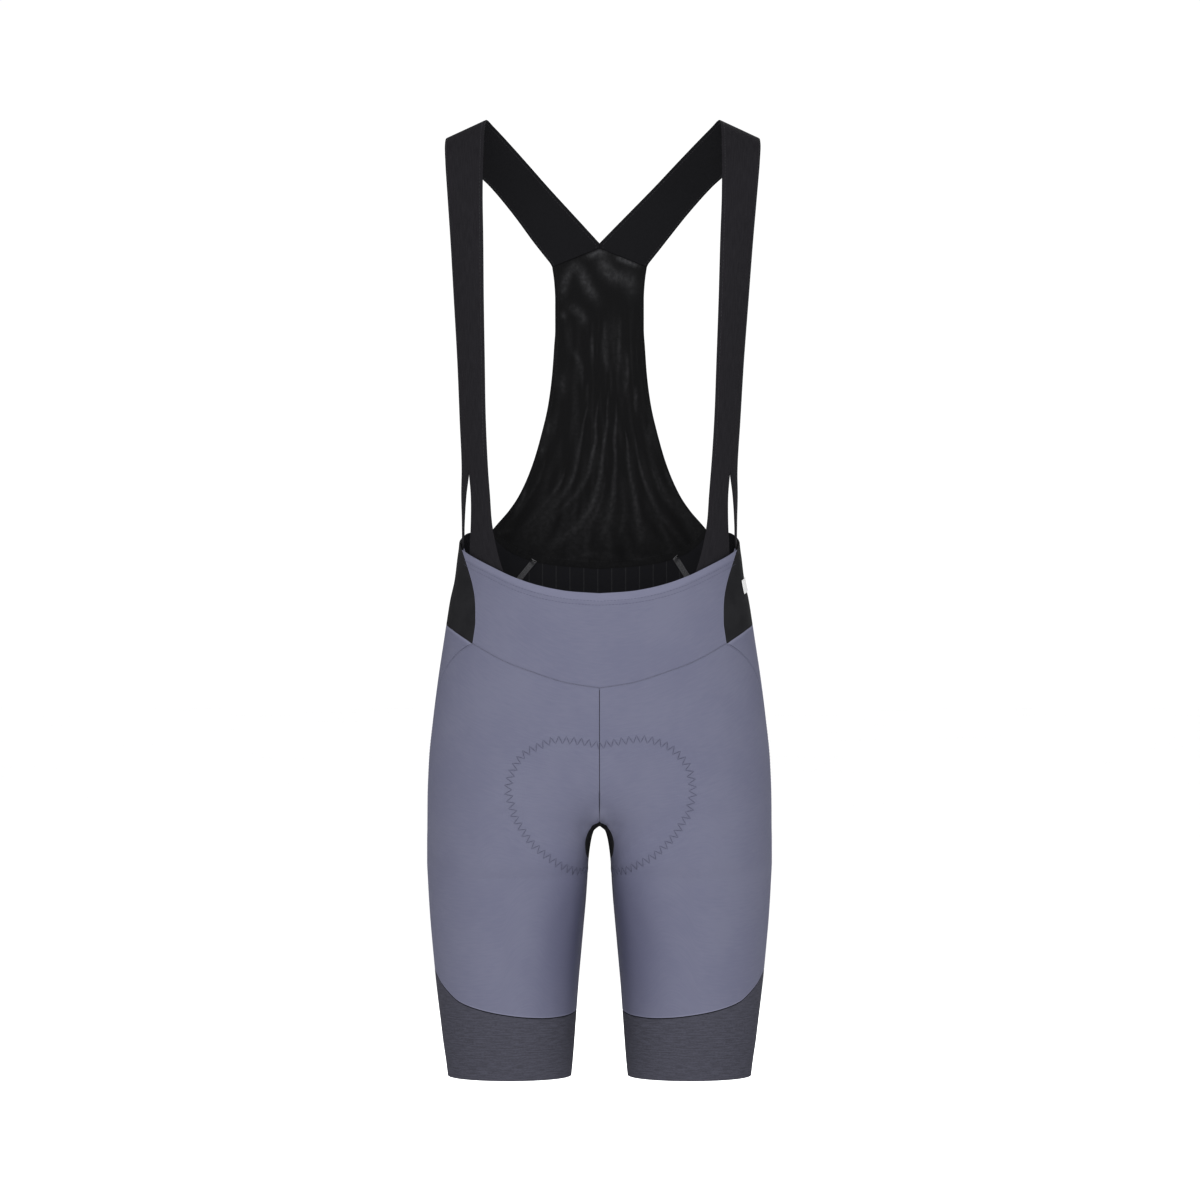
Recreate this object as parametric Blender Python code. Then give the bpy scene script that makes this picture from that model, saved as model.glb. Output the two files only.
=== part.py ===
"""Cycling bib shorts in the hollow form they take when worn, with no wearer.

Every sewn piece is a thin wall of cloth on one body form. The form is a stack of level
sections: a rounded ring round the trunk, which passes into one closed ring round each leg.
A place on the form is (around, drop). around runs from 0 at the centre front or the inseam,
through 0.5 at the outer side, to 1 at the centre back or the inseam again. drop is the
distance below the shoulders. Sizes are in millimetres until a mesh is made.
X is the wearer's left, Y the back and Z up, and the shoulders are at the origin.
"""

import math
from collections import namedtuple

import bpy
from mathutils import Vector

MM = 0.001

# ---------------------------------------------------------------- driving dimensions (mm)
WALL = 1.5                # knitted panels
STRAP_WALL = 1.5
TAPE_WALL = 1.0
LABEL_WALL = 1.0
SEAM_HALF_GAP = 0.16      # each cut edge stops this far from its seam line
LAP_GAP = 1.15            # clearance of a strap end that lies inside a panel
LAY_GAP = 0.5             # clearance of a tape or label that lies on a panel

CROTCH_DROP = 697.0
THIGH_BLEND_START = 540.0  # from here down the section takes on the form of two thighs
CROTCH_ARCH = 7.0         # the gap between the legs opens as across^2 = this * depth below
HOLLOW_GROWTH = 0.67      # how fast the hollow between the thighs closes above the crotch
EVEN_LEG_DROP = 900.0     # from here down the legs have even, rounded sections
HEM_DROP = 946.5
TRUNK_POWER = 2.25        # rounding of the trunk sections, 2 is an ellipse
LEG_POWER = 2.1
CROTCH_FRONT_POWER = 3.0  # the thighs' inner halves are squarer near the crotch
CROTCH_BACK_POWER = 2.4
INSEAM_EASE = 0.05        # share of the section that eases out of the centre seam

FRONT_COLUMNS = 10        # half front, centre to side seam
HIP_COLUMNS = 7           # side panel, front seam to the end of the mesh seam
MESH_END_COLUMNS = 4      # side panel, under the outer part of the mesh seam
BACK_COLUMNS = 6          # half lower back, tape seam to centre
WAIST_ROWS = 6
MESH_ROWS = 16
GRIPPER_ROWS = 2
CENTRE_ROWS = 8
INSEAM_ROWS = 7

FOLD_HEIGHT = 1.7         # soft folds of the mesh back
TAPE_WIDTH = 8.0
SEAT_TWIST = 5.4          # the lower back hangs this far towards the wearer's left
STRAP_SWAY = 3.4          # both shoulders sit this far towards the wearer's left


def table(columns, *rows):
    """A short table whose rows are read by column name."""
    row_type = namedtuple("Row", columns)
    return [row_type(*row) for row in rows]


# Level sections: half width, and how far the front and back stand from the side plane.
TRUNK = table(
    "drop half_width front back",
    (20, 186, 60, 84), (60, 180, 84, 96), (100, 170, 99, 104), (150, 162, 106, 108),
    (200, 156, 108, 106), (250, 151, 106, 100), (300, 144.5, 102, 92), (340, 141.2, 99, 86),
    (380, 140.3, 98, 83), (413, 140.2, 98.5, 83.5), (432, 142.3, 99, 86), (452, 144.8, 100, 89),
    (472, 149.2, 101, 93), (492, 152.4, 102, 97), (512, 155.4, 103, 101), (552, 161.4, 104, 108),
    (592, 166.4, 103, 113), (632, 170.4, 101, 113), (672, 172.0, 99, 109), (697, 172.2, 98, 105),
)
LEGS = table(
    "drop inner outer front back middle",
    (540, 0, 159.5, 98, 104, 3), (620, 0, 169.3, 97.5, 104, 4), (697, 0, 172.2, 94, 98, 4),
    (701, 5.4, 172.2, 93.8, 97.6, 4), (704, 6.6, 172.3, 93.6, 97.3, 4), (712, 8.5, 172.4, 93.2, 96.3, 4),
    (732, 11, 172.4, 92, 93.5, 3), (752, 12.2, 171.5, 90.5, 90.5, 2), (772, 13.6, 170.4, 89, 87.5, 2),
    (792, 15.4, 169, 87, 84.5, 1), (812, 17.2, 167.2, 85, 81.5, 0), (832, 19, 165.3, 82.7, 78.5, -1),
    (852, 20.8, 163.4, 80, 75.5, -1), (872, 22.2, 161.1, 77.5, 72.2, -2), (892, 23.6, 158.6, 74.5, 69, -3),
    (912, 25, 156.2, 71.7, 65.5, -4), (932, 26.6, 153.2, 69, 62, -5), (950, 28.4, 151, 67, 59, -5),
)

# Seams and free edges. across is measured from the centre line, depth from the side plane.
WAIST_EDGE = table(
    "across drop",
    (0, 465.2), (28, 463.4), (47.5, 460.3), (67.3, 455.3), (87, 448.2), (107, 438.7),
    (127.2, 428.2), (136.9, 422.2),
)
WAIST_SIDE_SEAM = table(
    "drop across",
    (422.2, 136.9), (434, 132.9), (446.3, 128.8), (458.2, 125.5), (470, 123.4), (481.9, 122.7),
    (493.7, 122.7), (505.5, 124.1), (514.8, 125.5),
)
V_SEAM = table(
    "across drop",
    (0, 558), (30.8, 553.2), (65.1, 542.7), (91.8, 532.8), (125.5, 514.8),
)
HIP_LOWER_SEAM = table(
    "depth drop",
    (-67, 514.8), (-62.5, 511.7), (-50, 505.6), (-34, 500.3), (-10, 496.8), (20, 496), (75, 500),
)
HIP_TOP_EDGE = table(
    "depth drop",
    (-28, 422.2), (-15, 417), (0, 414), (16, 410), (34.6, 404.2), (52, 402.8),
)
LEG_SIDE_SEAM = table(
    "drop depth",
    (514.8, -67), (521.4, -57), (533.4, -42.5), (549.6, -27), (572.7, -14), (600, -5),
    (650, 4), (720, 9), (800, 10), (841, 9),
)
GRIPPER_SEAM = table(
    "across drop",
    (23, 881.7), (33, 884), (50, 884.8), (70.8, 883.6), (92, 881), (109, 878), (126.2, 873.7),
    (140.3, 868), (147, 862.5), (157, 852), (163.6, 841.5),
)
MESH_LOWER_SEAM = table(
    "across drop",
    (0, 437.4), (40.7, 434.4), (67, 429.8), (90.7, 420.3), (110.2, 402.8),
)
MESH_SIDE_EDGE = table(
    "drop across",
    (131.4, 48.6), (148, 46.4), (165, 45.5), (196, 45.5), (212, 46.5), (242, 48.6), (273, 52.6),
    (304, 59.6), (335, 68.6), (365.4, 81.7), (380.8, 91.7), (396, 104.6), (402.8, 110.2),
)
TAPE_SEAM = table(
    "drop across",
    (428.4, 71.3), (438, 78.2), (448.7, 85.9), (470, 98.5), (486, 106), (500, 110),
)
BACK_LOWER_SEAM = table(
    "across drop",
    (0, 511), (55, 507), (110, 500),
)
STRAP_SEAM = table(
    "across drop",
    (0, 111.9), (48.6, 131.4),
)
# Gusset outline, from the centre seam to its tip on the inseam.
GUSSET_FRONT = table(
    "across drop",
    (0, 692.3), (7, 695.9), (11.7, 703), (13.9, 710.5), (13.6, 719), (12.0, 726),
)
GUSSET_BACK = table(
    "across drop",
    (0, 688), (9, 692.5), (15, 700.5), (17.5, 709), (16.2, 718), (13.0, 726),
)
GUSSET_TIP_DROP = 731.0

# Strap, from the waist up to the slit: the two legs that stand either side of the slit.
STRAP_LEGS = table(
    "front_inner front_inner_drop front_outer front_outer_drop "
    "side_front side_front_drop side_back side_back_drop",
    (90.0, 461, 131.0, 444, -21, 433, 7, 427),
    (101.5, 427, 131.2, 420, -20, 415, 6, 410),
    (107.9, 398, 130.2, 398, -22, 398, 3, 398),
    (109.8, 368, 129.4, 368, -33, 368, -13, 368),
)
# Strap, up the chest on the form.
STRAP_CHEST = table(
    "inner outer drop",
    (110.9, 137.9, 343), (113.1, 139.5, 294), (114.5, 142.2, 235), (115.9, 146.0, 176),
    (116.9, 149.9, 117),
)
# Strap, over the shoulder and down to the V at the back: its two edges in space.
STRAP_SHOULDER = table(
    "neck_x neck_y neck_drop arm_x arm_y arm_drop",
    (118.2, -72, 73.3, 153.6, -46, 70.8),
    (118.2, -54, 30.9, 156.3, -36, 37.4),
    (117.8, -29, 2.9, 157.4, -19, 17.4),
    (116, 0, -8.3, 156, 1, 10.1),
    (109.5, 23, -3.6, 148.5, 22, 17.1),
    (98.2, 41, 6.8, 134.5, 44, 33.9),
    (77, 66, 27.7, 112.5, 71, 52.8),
)
STRAP_BACK = table(
    "neck_across neck_drop arm_across arm_drop",
    (50.9, 54.4, 88.6, 79.6), (25.5, 80.5, 65.2, 109.6), (0, 107, 50.4, 128),
    (0, 111.9, 48.6, 131.4),
)
STRAP_ACROSS = (0, 0.3, 0.6, 0.8, 1)   # places of the strap's lengthwise lines
SLIT_LINE = 2                          # the line that the slit opens along
STRAP_CHEST_STEPS = 3                  # rows between two stations of the chest
SWAY_DROP_FRONT = 350.0                # the straps lean sideways above these drops
SWAY_DROP_BACK = 105.0
TUCK_START_DROP = 320.0                # from here down the strap goes in behind the panels
TUCK_END_DROP = 396.0

LABEL_CORNERS = table("depth drop", (-30, 452.5), (-9, 449), (-10, 463), (-31.5, 466.5))


# ---------------------------------------------------------------- smooth curves
def tangents(places, values, limited):
    """End slopes for a smooth curve; a limited one never swings past its points."""
    steps = [b - a for a, b in zip(places, places[1:])]
    slopes = [(b - a) / step for a, b, step in zip(values, values[1:], steps)]
    result = [slopes[0]]
    for before, after, h0, h1 in zip(slopes, slopes[1:], steps, steps[1:]):
        if limited and before * after <= 0:
            result.append(0.0)
        elif limited:
            result.append(3 * (h0 + h1) / ((2 * h1 + h0) / before + (h1 + 2 * h0) / after))
        else:
            result.append((before * h1 + after * h0) / (h0 + h1))
    return result + [slopes[-1]]


def smooth(places, values, limited=True):
    """A smooth function through the given points, in straight lines past its ends."""
    ends = tangents(places, values, limited)

    def at(place):
        if place <= places[0]:
            return values[0] + ends[0] * (place - places[0])
        if place >= places[-1]:
            return values[-1] + ends[-1] * (place - places[-1])
        i = 0
        while places[i + 1] < place:
            i += 1
        h = places[i + 1] - places[i]
        t = (place - places[i]) / h
        return (values[i] * (1 + 2 * t) * (1 - t) ** 2 + values[i + 1] * t * t * (3 - 2 * t)
                + h * (ends[i] * t * (1 - t) ** 2 - ends[i + 1] * t * t * (1 - t)))

    return at


def column(rows, place, value, limited=True):
    """The smooth function that gives one column of a table from another."""
    return smooth([getattr(r, place) for r in rows], [getattr(r, value) for r in rows], limited)


def spread(first, last, count):
    return [first + (last - first) * i / count for i in range(count + 1)]


trunk_half_width = column(TRUNK, "drop", "half_width")
trunk_front = column(TRUNK, "drop", "front")
trunk_back = column(TRUNK, "drop", "back")
leg_inner_squared = smooth([r.drop for r in LEGS], [r.inner ** 2 for r in LEGS])
leg_outer = column(LEGS, "drop", "outer")
leg_front = column(LEGS, "drop", "front")
leg_back = column(LEGS, "drop", "back")
leg_middle = column(LEGS, "drop", "middle")


# ---------------------------------------------------------------- body form
def signed_power(value, power):
    return math.copysign(abs(value) ** power, value)


def arch(share, power):
    """Height of a rounded arch, 1 in the middle and 0 where share reaches -1 or 1."""
    return max(0.0, 1 - abs(share) ** power) ** (1 / power)


def soft_step(value, start, end):
    t = min(max((value - start) / (end - start), 0.0), 1.0)
    return t * t * (3 - 2 * t)


def eased(around):
    """around, slowed near both ends so that the section leaves the inseam slowly."""
    ease = INSEAM_EASE
    if around < ease:
        done = around * around / (2 * ease)
    elif around > 1 - ease:
        done = 1 - ease - (1 - around) ** 2 / (2 * ease)
    else:
        done = around - ease / 2
    return done / (1 - ease)


def thigh_power(share, front, drop):
    """Rounding of a thigh's section; its inner half is squarer near the crotch."""
    if share > 0:
        return LEG_POWER
    crotch_power = CROTCH_FRONT_POWER if front else CROTCH_BACK_POWER
    return crotch_power + (LEG_POWER - crotch_power) * soft_step(drop, CROTCH_DROP, EVEN_LEG_DROP)


def thigh_share(around, drop):
    """Place across a thigh, from -1 at its inner side to 1 at its outer side."""
    side = math.cos(2 * math.pi * (eased(around) - 0.5))
    return signed_power(side, 2 / thigh_power(side, around < 0.5, drop))


def thigh_depth(share, front, drop):
    """How far a thigh's cloth stands towards the front (negative) or the back."""
    middle = leg_middle(drop)
    depth = -leg_front(drop) - middle if front else leg_back(drop) - middle
    return middle + depth * arch(share, thigh_power(share, front, drop))


def leg_section(around, drop):
    share = thigh_share(around, drop)
    near = (1 + share) / 2
    opened, outer = leg_inner_squared(drop), leg_outer(drop)
    inner = math.sqrt(opened)
    pushed = math.sqrt(opened + near ** 2 * (outer ** 2 - opened))
    even = inner + near * (outer - inner)
    x = pushed + (even - pushed) * soft_step(drop, CROTCH_DROP, EVEN_LEG_DROP)
    return x, thigh_depth(share, around < 0.5, drop)


def trunk_section(around, drop):
    """The section above the crotch, which takes on the form of two thighs as it comes down."""
    width = trunk_half_width(drop)
    thighs = soft_step(drop, THIGH_BLEND_START, CROTCH_DROP)
    trunk_x = width * math.cos(math.pi * (around - 0.5)) ** (2 / TRUNK_POWER)
    leg_x = width * (1 + thigh_share(around, drop)) / 2
    x = trunk_x + thighs * (leg_x - trunk_x)

    height = CROTCH_DROP - drop
    closed = min(CROTCH_ARCH * height + HOLLOW_GROWTH * height ** 2, width ** 2 / 3)
    near = math.sqrt((x ** 2 + closed) / (width ** 2 + closed))
    front = around < 0.5
    trunk_depth = -trunk_front(drop) if front else trunk_back(drop)
    trunk_y = trunk_depth * arch(x / width, TRUNK_POWER)
    return x, trunk_y + thighs * (thigh_depth(2 * near - 1, front, drop) - trunk_y)


def form(around, drop):
    """A point of the left half of the body form, in mm, with z up."""
    if drop >= CROTCH_DROP:
        x, y = leg_section(around % 1.0, drop)
        return Vector((x, y, -drop))
    side = -1 if around < 0 or around > 1 else 1
    x, y = trunk_section(-around if around < 0 else 2 - around if around > 1 else around, drop)
    return Vector((side * x, y, -drop))


def outward(around, drop):
    """The form's unit normal, away from the body."""
    step_around, step_drop = 0.002, 0.4
    along = form(around + step_around, drop) - form(around - step_around, drop)
    down = form(around, drop + step_drop) - form(around, drop - step_drop)
    return down.cross(along).normalized()


def search(low, high, value_at, wanted):
    """The place between low and high where a steadily changing value is the wanted one."""
    rising = value_at(high) > value_at(low)
    for _ in range(40):
        middle = (low + high) / 2
        if (value_at(middle) < wanted) == rising:
            low = middle
        else:
            high = middle
    return (low + high) / 2


def on_front(across, drop):
    return (search(0.0, 0.5, lambda u: form(u, drop).x, across) if across > 0 else 0.0), drop


def on_side(depth, drop):
    return search(0.2, 0.8, lambda u: form(u, drop).y, depth), drop


def on_back(across, drop):
    return (search(0.5, 1.0, lambda u: form(u, drop).x, across) if across > 0 else 1.0), drop


# ---------------------------------------------------------------- seam lines, as (around, drop)
def along(rows, place, value, ends, count, onto):
    """count + 1 places along a seam whose table gives one column from another."""
    value_at = column(rows, place, value)
    if place == "drop":
        return [onto(value_at(p), p) for p in spread(*ends, count)]
    return [onto(p, value_at(p)) for p in spread(*ends, count)]


def by_turn(drop_at, first, last, count, axis="x"):
    """count + 1 places, evenly round the body, on a seam whose drop depends on x or y."""
    places = []
    for u in spread(first, last, count):
        drop = 500.0
        for _ in range(14):
            drop = drop_at(getattr(form(u, drop), axis))
        places.append((u, drop))
    return places


def crowded(first, last, count):
    """Places that lie closer together towards the last one."""
    return [first + (last - first) * (1 - (1 - i / count) ** 1.35) for i in range(count + 1)]


waist_drop = column(WAIST_EDGE, "across", "drop")
v_seam_drop = column(V_SEAM, "across", "drop")
hip_top_drop = column(HIP_TOP_EDGE, "depth", "drop")
hip_lower_drop = column(HIP_LOWER_SEAM, "depth", "drop")
gripper_drop = column(GRIPPER_SEAM, "across", "drop")
mesh_lower_drop = column(MESH_LOWER_SEAM, "across", "drop")

waist_corner = on_front(WAIST_EDGE[-1].across, WAIST_EDGE[-1].drop)
hip_corner = on_front(V_SEAM[-1].across, V_SEAM[-1].drop)
mesh_corner = on_back(MESH_LOWER_SEAM[-1].across, MESH_LOWER_SEAM[-1].drop)
back_corner = on_back(BACK_LOWER_SEAM[-1].across, BACK_LOWER_SEAM[-1].drop)

waist_edge = by_turn(waist_drop, 0, waist_corner[0], FRONT_COLUMNS)
v_seam = by_turn(v_seam_drop, 0, hip_corner[0], FRONT_COLUMNS)
waist_side = along(WAIST_SIDE_SEAM, "drop", "across", (waist_corner[1], hip_corner[1]),
                   WAIST_ROWS, on_front)
waist_side[0], waist_side[-1] = waist_edge[-1], v_seam[-1]
back_lower = along(BACK_LOWER_SEAM, "across", "drop", (BACK_LOWER_SEAM[-1].across, 0),
                   BACK_COLUMNS, on_back)
hip_top = by_turn(hip_top_drop, waist_corner[0], mesh_corner[0], HIP_COLUMNS, "y")
hip_top[0], hip_top[-1] = waist_edge[-1], mesh_corner
hip_lower = by_turn(hip_lower_drop, hip_corner[0], back_corner[0],
                    HIP_COLUMNS + MESH_END_COLUMNS, "y")
hip_lower[0], hip_lower[-1] = v_seam[-1], back_lower[0]

SEAT_COLUMNS = HIP_COLUMNS + MESH_END_COLUMNS + BACK_COLUMNS
LEG_ROWS = CENTRE_ROWS + len(GUSSET_FRONT) + INSEAM_ROWS
leg_side = along(LEG_SIDE_SEAM, "drop", "depth", (hip_corner[1], LEG_SIDE_SEAM[-1].drop),
                 LEG_ROWS, on_side)
side_turn = leg_side[-1][0]
gripper_front = by_turn(gripper_drop, 0, side_turn, FRONT_COLUMNS)
gripper_back = by_turn(gripper_drop, side_turn, 1, SEAT_COLUMNS)
leg_side[0], leg_side[-1] = v_seam[-1], gripper_front[-1]

gusset_front = [on_front(r.across, r.drop) for r in GUSSET_FRONT] + [(0.0, GUSSET_TIP_DROP)]
gusset_back = [on_back(r.across, r.drop) for r in GUSSET_BACK] + [(1.0, GUSSET_TIP_DROP)]
centre_front = [(0.0, d) for d in crowded(v_seam[0][1], gusset_front[0][1], CENTRE_ROWS)]
centre_back = [(1.0, d) for d in crowded(back_lower[-1][1], gusset_back[0][1], CENTRE_ROWS)]
inseam_drops = spread(gusset_front[-1][1], gripper_front[0][1], INSEAM_ROWS)


def seat_seams(twist):
    """The tape seam and the two stretches of the mesh's lower seam, moved out by the twist."""
    tape_across = column(TAPE_SEAM, "drop", "across")
    top, low = TAPE_SEAM[0], TAPE_SEAM[-1]
    start = top.across + twist
    start_drop = mesh_lower_drop(start)
    tape = []
    for drop in spread(start_drop, low.drop, WAIST_ROWS):
        share = (low.drop - drop) / (low.drop - start_drop)
        shift = start - tape_across(start_drop)
        tape.append(on_back(tape_across(drop) + shift * share, drop))
    end = along(MESH_LOWER_SEAM, "across", "drop", (MESH_LOWER_SEAM[-1].across, start),
                MESH_END_COLUMNS, on_back)
    middle = along(MESH_LOWER_SEAM, "across", "drop", (start, 0), BACK_COLUMNS, on_back)
    end[0] = mesh_corner
    tape[0] = end[-1] = middle[0]
    tape[-1] = back_corner
    return tape, end, middle


# ---------------------------------------------------------------- grids and solids
def patch(top, bottom, start, end):
    """Rows of places that fill the region between four seams."""
    columns, rows = len(top) - 1, len(start) - 1
    grid = []
    for r in range(rows + 1):
        t = r / rows
        line = []
        for c in range(columns + 1):
            s = c / columns
            line.append(tuple(
                (1 - t) * top[c][k] + t * bottom[c][k] + (1 - s) * start[r][k] + s * end[r][k]
                - (1 - t) * ((1 - s) * top[0][k] + s * top[-1][k])
                - t * ((1 - s) * bottom[0][k] + s * bottom[-1][k]) for k in (0, 1)))
        grid.append(line)
    return grid


def lift(places, height=0.0):
    """Points and normals on the form for a grid of places."""
    points, normals = [], []
    for line in places:
        normal_line = [outward(u, d) for u, d in line]
        points.append([form(u, d) + n * height for (u, d), n in zip(line, normal_line)])
        normals.append(normal_line)
    return points, normals


def mirrored(vector):
    return Vector((-vector.x, vector.y, vector.z))


def both_halves(left, right):
    """One grid from two half grids, whose last lines lie on the centre; right is mirrored."""
    wide = []
    for half, other in zip(left, right):
        wide.append([line + [mirrored(p) for p in other_line[-2::-1]]
                     for line, other_line in zip(half, other)])
    return wide


def grid_faces(rows, columns, closed=False):
    """Triangles of a grid, numbered row by row."""
    width = columns if closed else columns + 1
    faces = []
    for r in range(rows):
        for c in range(columns):
            a = r * width + c
            b = r * width + (c + 1) % width
            low_a, low_b = a + width, b + width
            if c * 2 < columns:
                faces += [(a, low_a, low_b), (a, low_b, b)]
            else:
                faces += [(a, low_a, b), (b, low_a, low_b)]
    return faces


def reversed_lines(grids):
    return [[line[::-1] for line in grid] for grid in grids]


def edge_loops(faces):
    """Directed border edges of a set of triangles: each vertex to the next."""
    directed = {(f[i], f[(i + 1) % 3]) for f in faces for i in range(3)}
    return {a: b for a, b in directed if (b, a) not in directed}


def facing_out(points, normals, faces):
    """The same triangles, turned where needed so that they face along the normals."""
    total = 0.0
    for a, b, c in faces:
        face_normal = (points[b] - points[a]).cross(points[c] - points[a])
        total += face_normal.dot(normals[a] + normals[b] + normals[c])
    return faces if total > 0 else [(a, c, b) for a, b, c in faces]


def pulled_in(points, normals, border, distance):
    """The points, with each border point moved into the piece by the seam's half gap."""
    before = {b: a for a, b in border.items()}
    moved = list(points)
    for here, after in border.items():
        into = []
        for start, end in ((before[here], here), (here, after)):
            way = (points[end] - points[start]).normalized()
            into.append(normals[here].cross(way).normalized())
        corner = into[0] + into[1]
        moved[here] = points[here] + corner * (distance / max(0.35, 1 + into[0].dot(into[1])))
    return moved


def rank(point):
    """Orders the ends of a border edge, the same way for the pieces on both of its sides."""
    return 0.73 * abs(point.x) + 1.37 * point.y + 0.52 * point.z


def cloth_solid(name, points, normals, faces, wall, material, gap=SEAM_HALF_GAP):
    """One closed wall of cloth: the outer face on the points, the inner one behind it."""
    faces = facing_out(points, normals, faces)
    border = edge_loops(faces)
    outer = pulled_in(points, normals, border, gap) if gap else list(points)
    inner = [p - n * wall for p, n in zip(outer, normals)]
    count = len(outer)
    all_faces = list(faces) + [(c + count, b + count, a + count) for a, b, c in faces]
    for a, b in border.items():
        if rank(outer[a]) > rank(outer[b]):
            all_faces += [(a, a + count, b + count), (a, b + count, b)]
        else:
            all_faces += [(a, a + count, b), (b, a + count, b + count)]
    mesh = bpy.data.meshes.new(name)
    mesh.from_pydata([p * MM for p in outer + inner], [], all_faces)
    mesh.materials.append(material)
    mesh.shade_smooth()
    mesh.set_sharp_from_angle(angle=math.radians(40))
    mesh.validate()
    piece = bpy.data.objects.new(name, mesh)
    bpy.context.scene.collection.objects.link(piece)
    return piece


def flat_list(grid):
    return [item for line in grid for item in line]


def grid_solid(name, points, normals, wall, material, closed=False, gap=SEAM_HALF_GAP):
    rows, columns = len(points) - 1, len(points[0]) - (0 if closed else 1)
    faces = grid_faces(rows, columns, closed)
    return cloth_solid(name, flat_list(points), flat_list(normals), faces, wall, material, gap)


def mirror_grids(*grids):
    return [[[mirrored(v) for v in line] for line in grid] for grid in grids]


def left_and_right(name, points, normals, wall, material, closed=False):
    """A piece on the wearer's left, and its mirror image on the right."""
    grid_solid(name + "_left", points, normals, wall, material, closed)
    grid_solid(name + "_right", *mirror_grids(points, normals), wall, material, closed)


def cloth_material(name, colour, roughness):
    material = bpy.data.materials.new(name)
    material.use_nodes = True
    shader = material.node_tree.nodes["Principled BSDF"]
    shader.inputs["Base Color"].default_value = (*colour, 1)
    shader.inputs["Roughness"].default_value = roughness
    shader.inputs["Metallic"].default_value = 0
    material.diffuse_color = (*colour, 1)
    return material


# ---------------------------------------------------------------- the pieces
def build_front_waist(blue):
    centre = [(0.0, d) for d in spread(waist_edge[0][1], v_seam[0][1], WAIST_ROWS)]
    half = reversed_lines(lift(patch(waist_edge, v_seam, centre, waist_side)))
    grid_solid("front_waist_panel", *both_halves(half, half), WALL, blue)


def build_leg_panels(blue):
    inner = centre_front + gusset_front[1:] + [(0.0, d) for d in inseam_drops[1:]]
    places = patch(v_seam, gripper_front, inner, leg_side)
    left_and_right("leg_front", *lift(places), WALL, blue)
    inner = centre_back + gusset_back[1:] + [(1.0, d) for d in inseam_drops[1:]]
    places = patch(hip_lower + back_lower[1:], gripper_back, leg_side, inner)
    left_and_right("leg_back", *lift(places), WALL, blue)


def build_grippers(heather):
    places = []
    for r in range(GRIPPER_ROWS + 1):
        share = r / GRIPPER_ROWS
        places.append([(u, d + (HEM_DROP - d) * share)
                       for u, d in gripper_front + gripper_back[1:-1]])
    left_and_right("gripper", *lift(places), WALL, heather, closed=True)


def side_panel_grid(twist):
    tape, mesh_end, _ = seat_seams(twist)
    return lift(patch(hip_top + mesh_end[1:], hip_lower, waist_side, tape))


def build_side_panels(black):
    grid_solid("side_panel_left", *side_panel_grid(SEAT_TWIST), WALL, black)
    points, normals = side_panel_grid(-SEAT_TWIST)
    grid_solid("side_panel_right", *mirror_grids(points, normals), WALL, black)


def lower_back_grid(twist):
    tape, _, mesh_middle = seat_seams(twist)
    centre = [(1.0, d) for d in spread(mesh_middle[-1][1], back_lower[-1][1], WAIST_ROWS)]
    return lift(patch(mesh_middle, back_lower, tape, centre))


def build_lower_back(black):
    halves = lower_back_grid(SEAT_TWIST), lower_back_grid(-SEAT_TWIST)
    grid_solid("lower_back_panel", *both_halves(*halves), WALL, black)


def mesh_back_grid(twist):
    _, mesh_end, mesh_middle = seat_seams(twist)
    top = along(STRAP_SEAM, "across", "drop", (STRAP_SEAM[-1].across, 0),
                BACK_COLUMNS + MESH_END_COLUMNS, on_back)
    drops = spread(STRAP_SEAM[-1].drop, mesh_corner[1], MESH_ROWS)
    edge_across = column(MESH_SIDE_EDGE, "drop", "across")
    side = [on_back(edge_across(d), d) for d in drops]
    side[0], side[-1] = top[0], mesh_corner
    centre = [(1.0, d) for d in spread(top[-1][1], mesh_middle[-1][1], MESH_ROWS)]
    return lift(patch(top, mesh_end + mesh_middle[1:], side, centre))


def build_mesh_back(net):
    points, normals = both_halves(mesh_back_grid(SEAT_TWIST), mesh_back_grid(-SEAT_TWIST))
    for r, line in enumerate(points):
        swell = math.sin(math.pi * r / MESH_ROWS) ** 1.5
        for c in range(1, len(line) - 1):
            fold = FOLD_HEIGHT if c % 2 else -FOLD_HEIGHT
            uneven = 0.7 + 0.3 * math.sin(1.9 * c + 0.35 * r)
            line[c] = line[c] - normals[r][c] * (fold * uneven * swell)
    grid_solid("mesh_back_panel", points, normals, WALL, net)


def build_gusset(black):
    """A fan of triangles round the crotch point, over both inner thighs."""
    rings = (0.15, 0.4, 0.7, 1.0)
    half = []
    for rear, outline_places in ((0, gusset_front), (1, gusset_back[-2::-1])):
        for u, d in outline_places:
            spoke = []
            for ring in rings:
                here = rear + (u - rear) * ring, CROTCH_DROP + (d - CROTCH_DROP) * ring
                spoke.append((form(*here), outward(*here)))
            half.append(spoke)
    spokes = half + [[(mirrored(p), mirrored(n)) for p, n in spoke] for spoke in half[-2:0:-1]]
    count, depth = len(spokes), len(rings)
    points = [form(0, CROTCH_DROP)] + [p for spoke in spokes for p, _ in spoke]
    normals = [Vector((0, 0, -1))] + [n for spoke in spokes for _, n in spoke]
    faces = []
    for s in range(count):
        a, b = 1 + s * depth, 1 + (s + 1) % count * depth
        faces.append((0, a, b))
        for r in range(depth - 1):
            faces += [(a + r, a + r + 1, b + r + 1), (a + r, b + r + 1, b + r)]
    cloth_solid("crotch_gusset", points, normals, faces, WALL, black)


def strap_inset(drop):
    """How far the strap lies inside the form: clear of the panels at the waist."""
    return (WALL + LAP_GAP) * soft_step(drop, TUCK_START_DROP, TUCK_END_DROP)


def strap_row_on_form(places):
    return [form(u, d) - outward(u, d) * strap_inset(d) for u, d in places]


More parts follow.
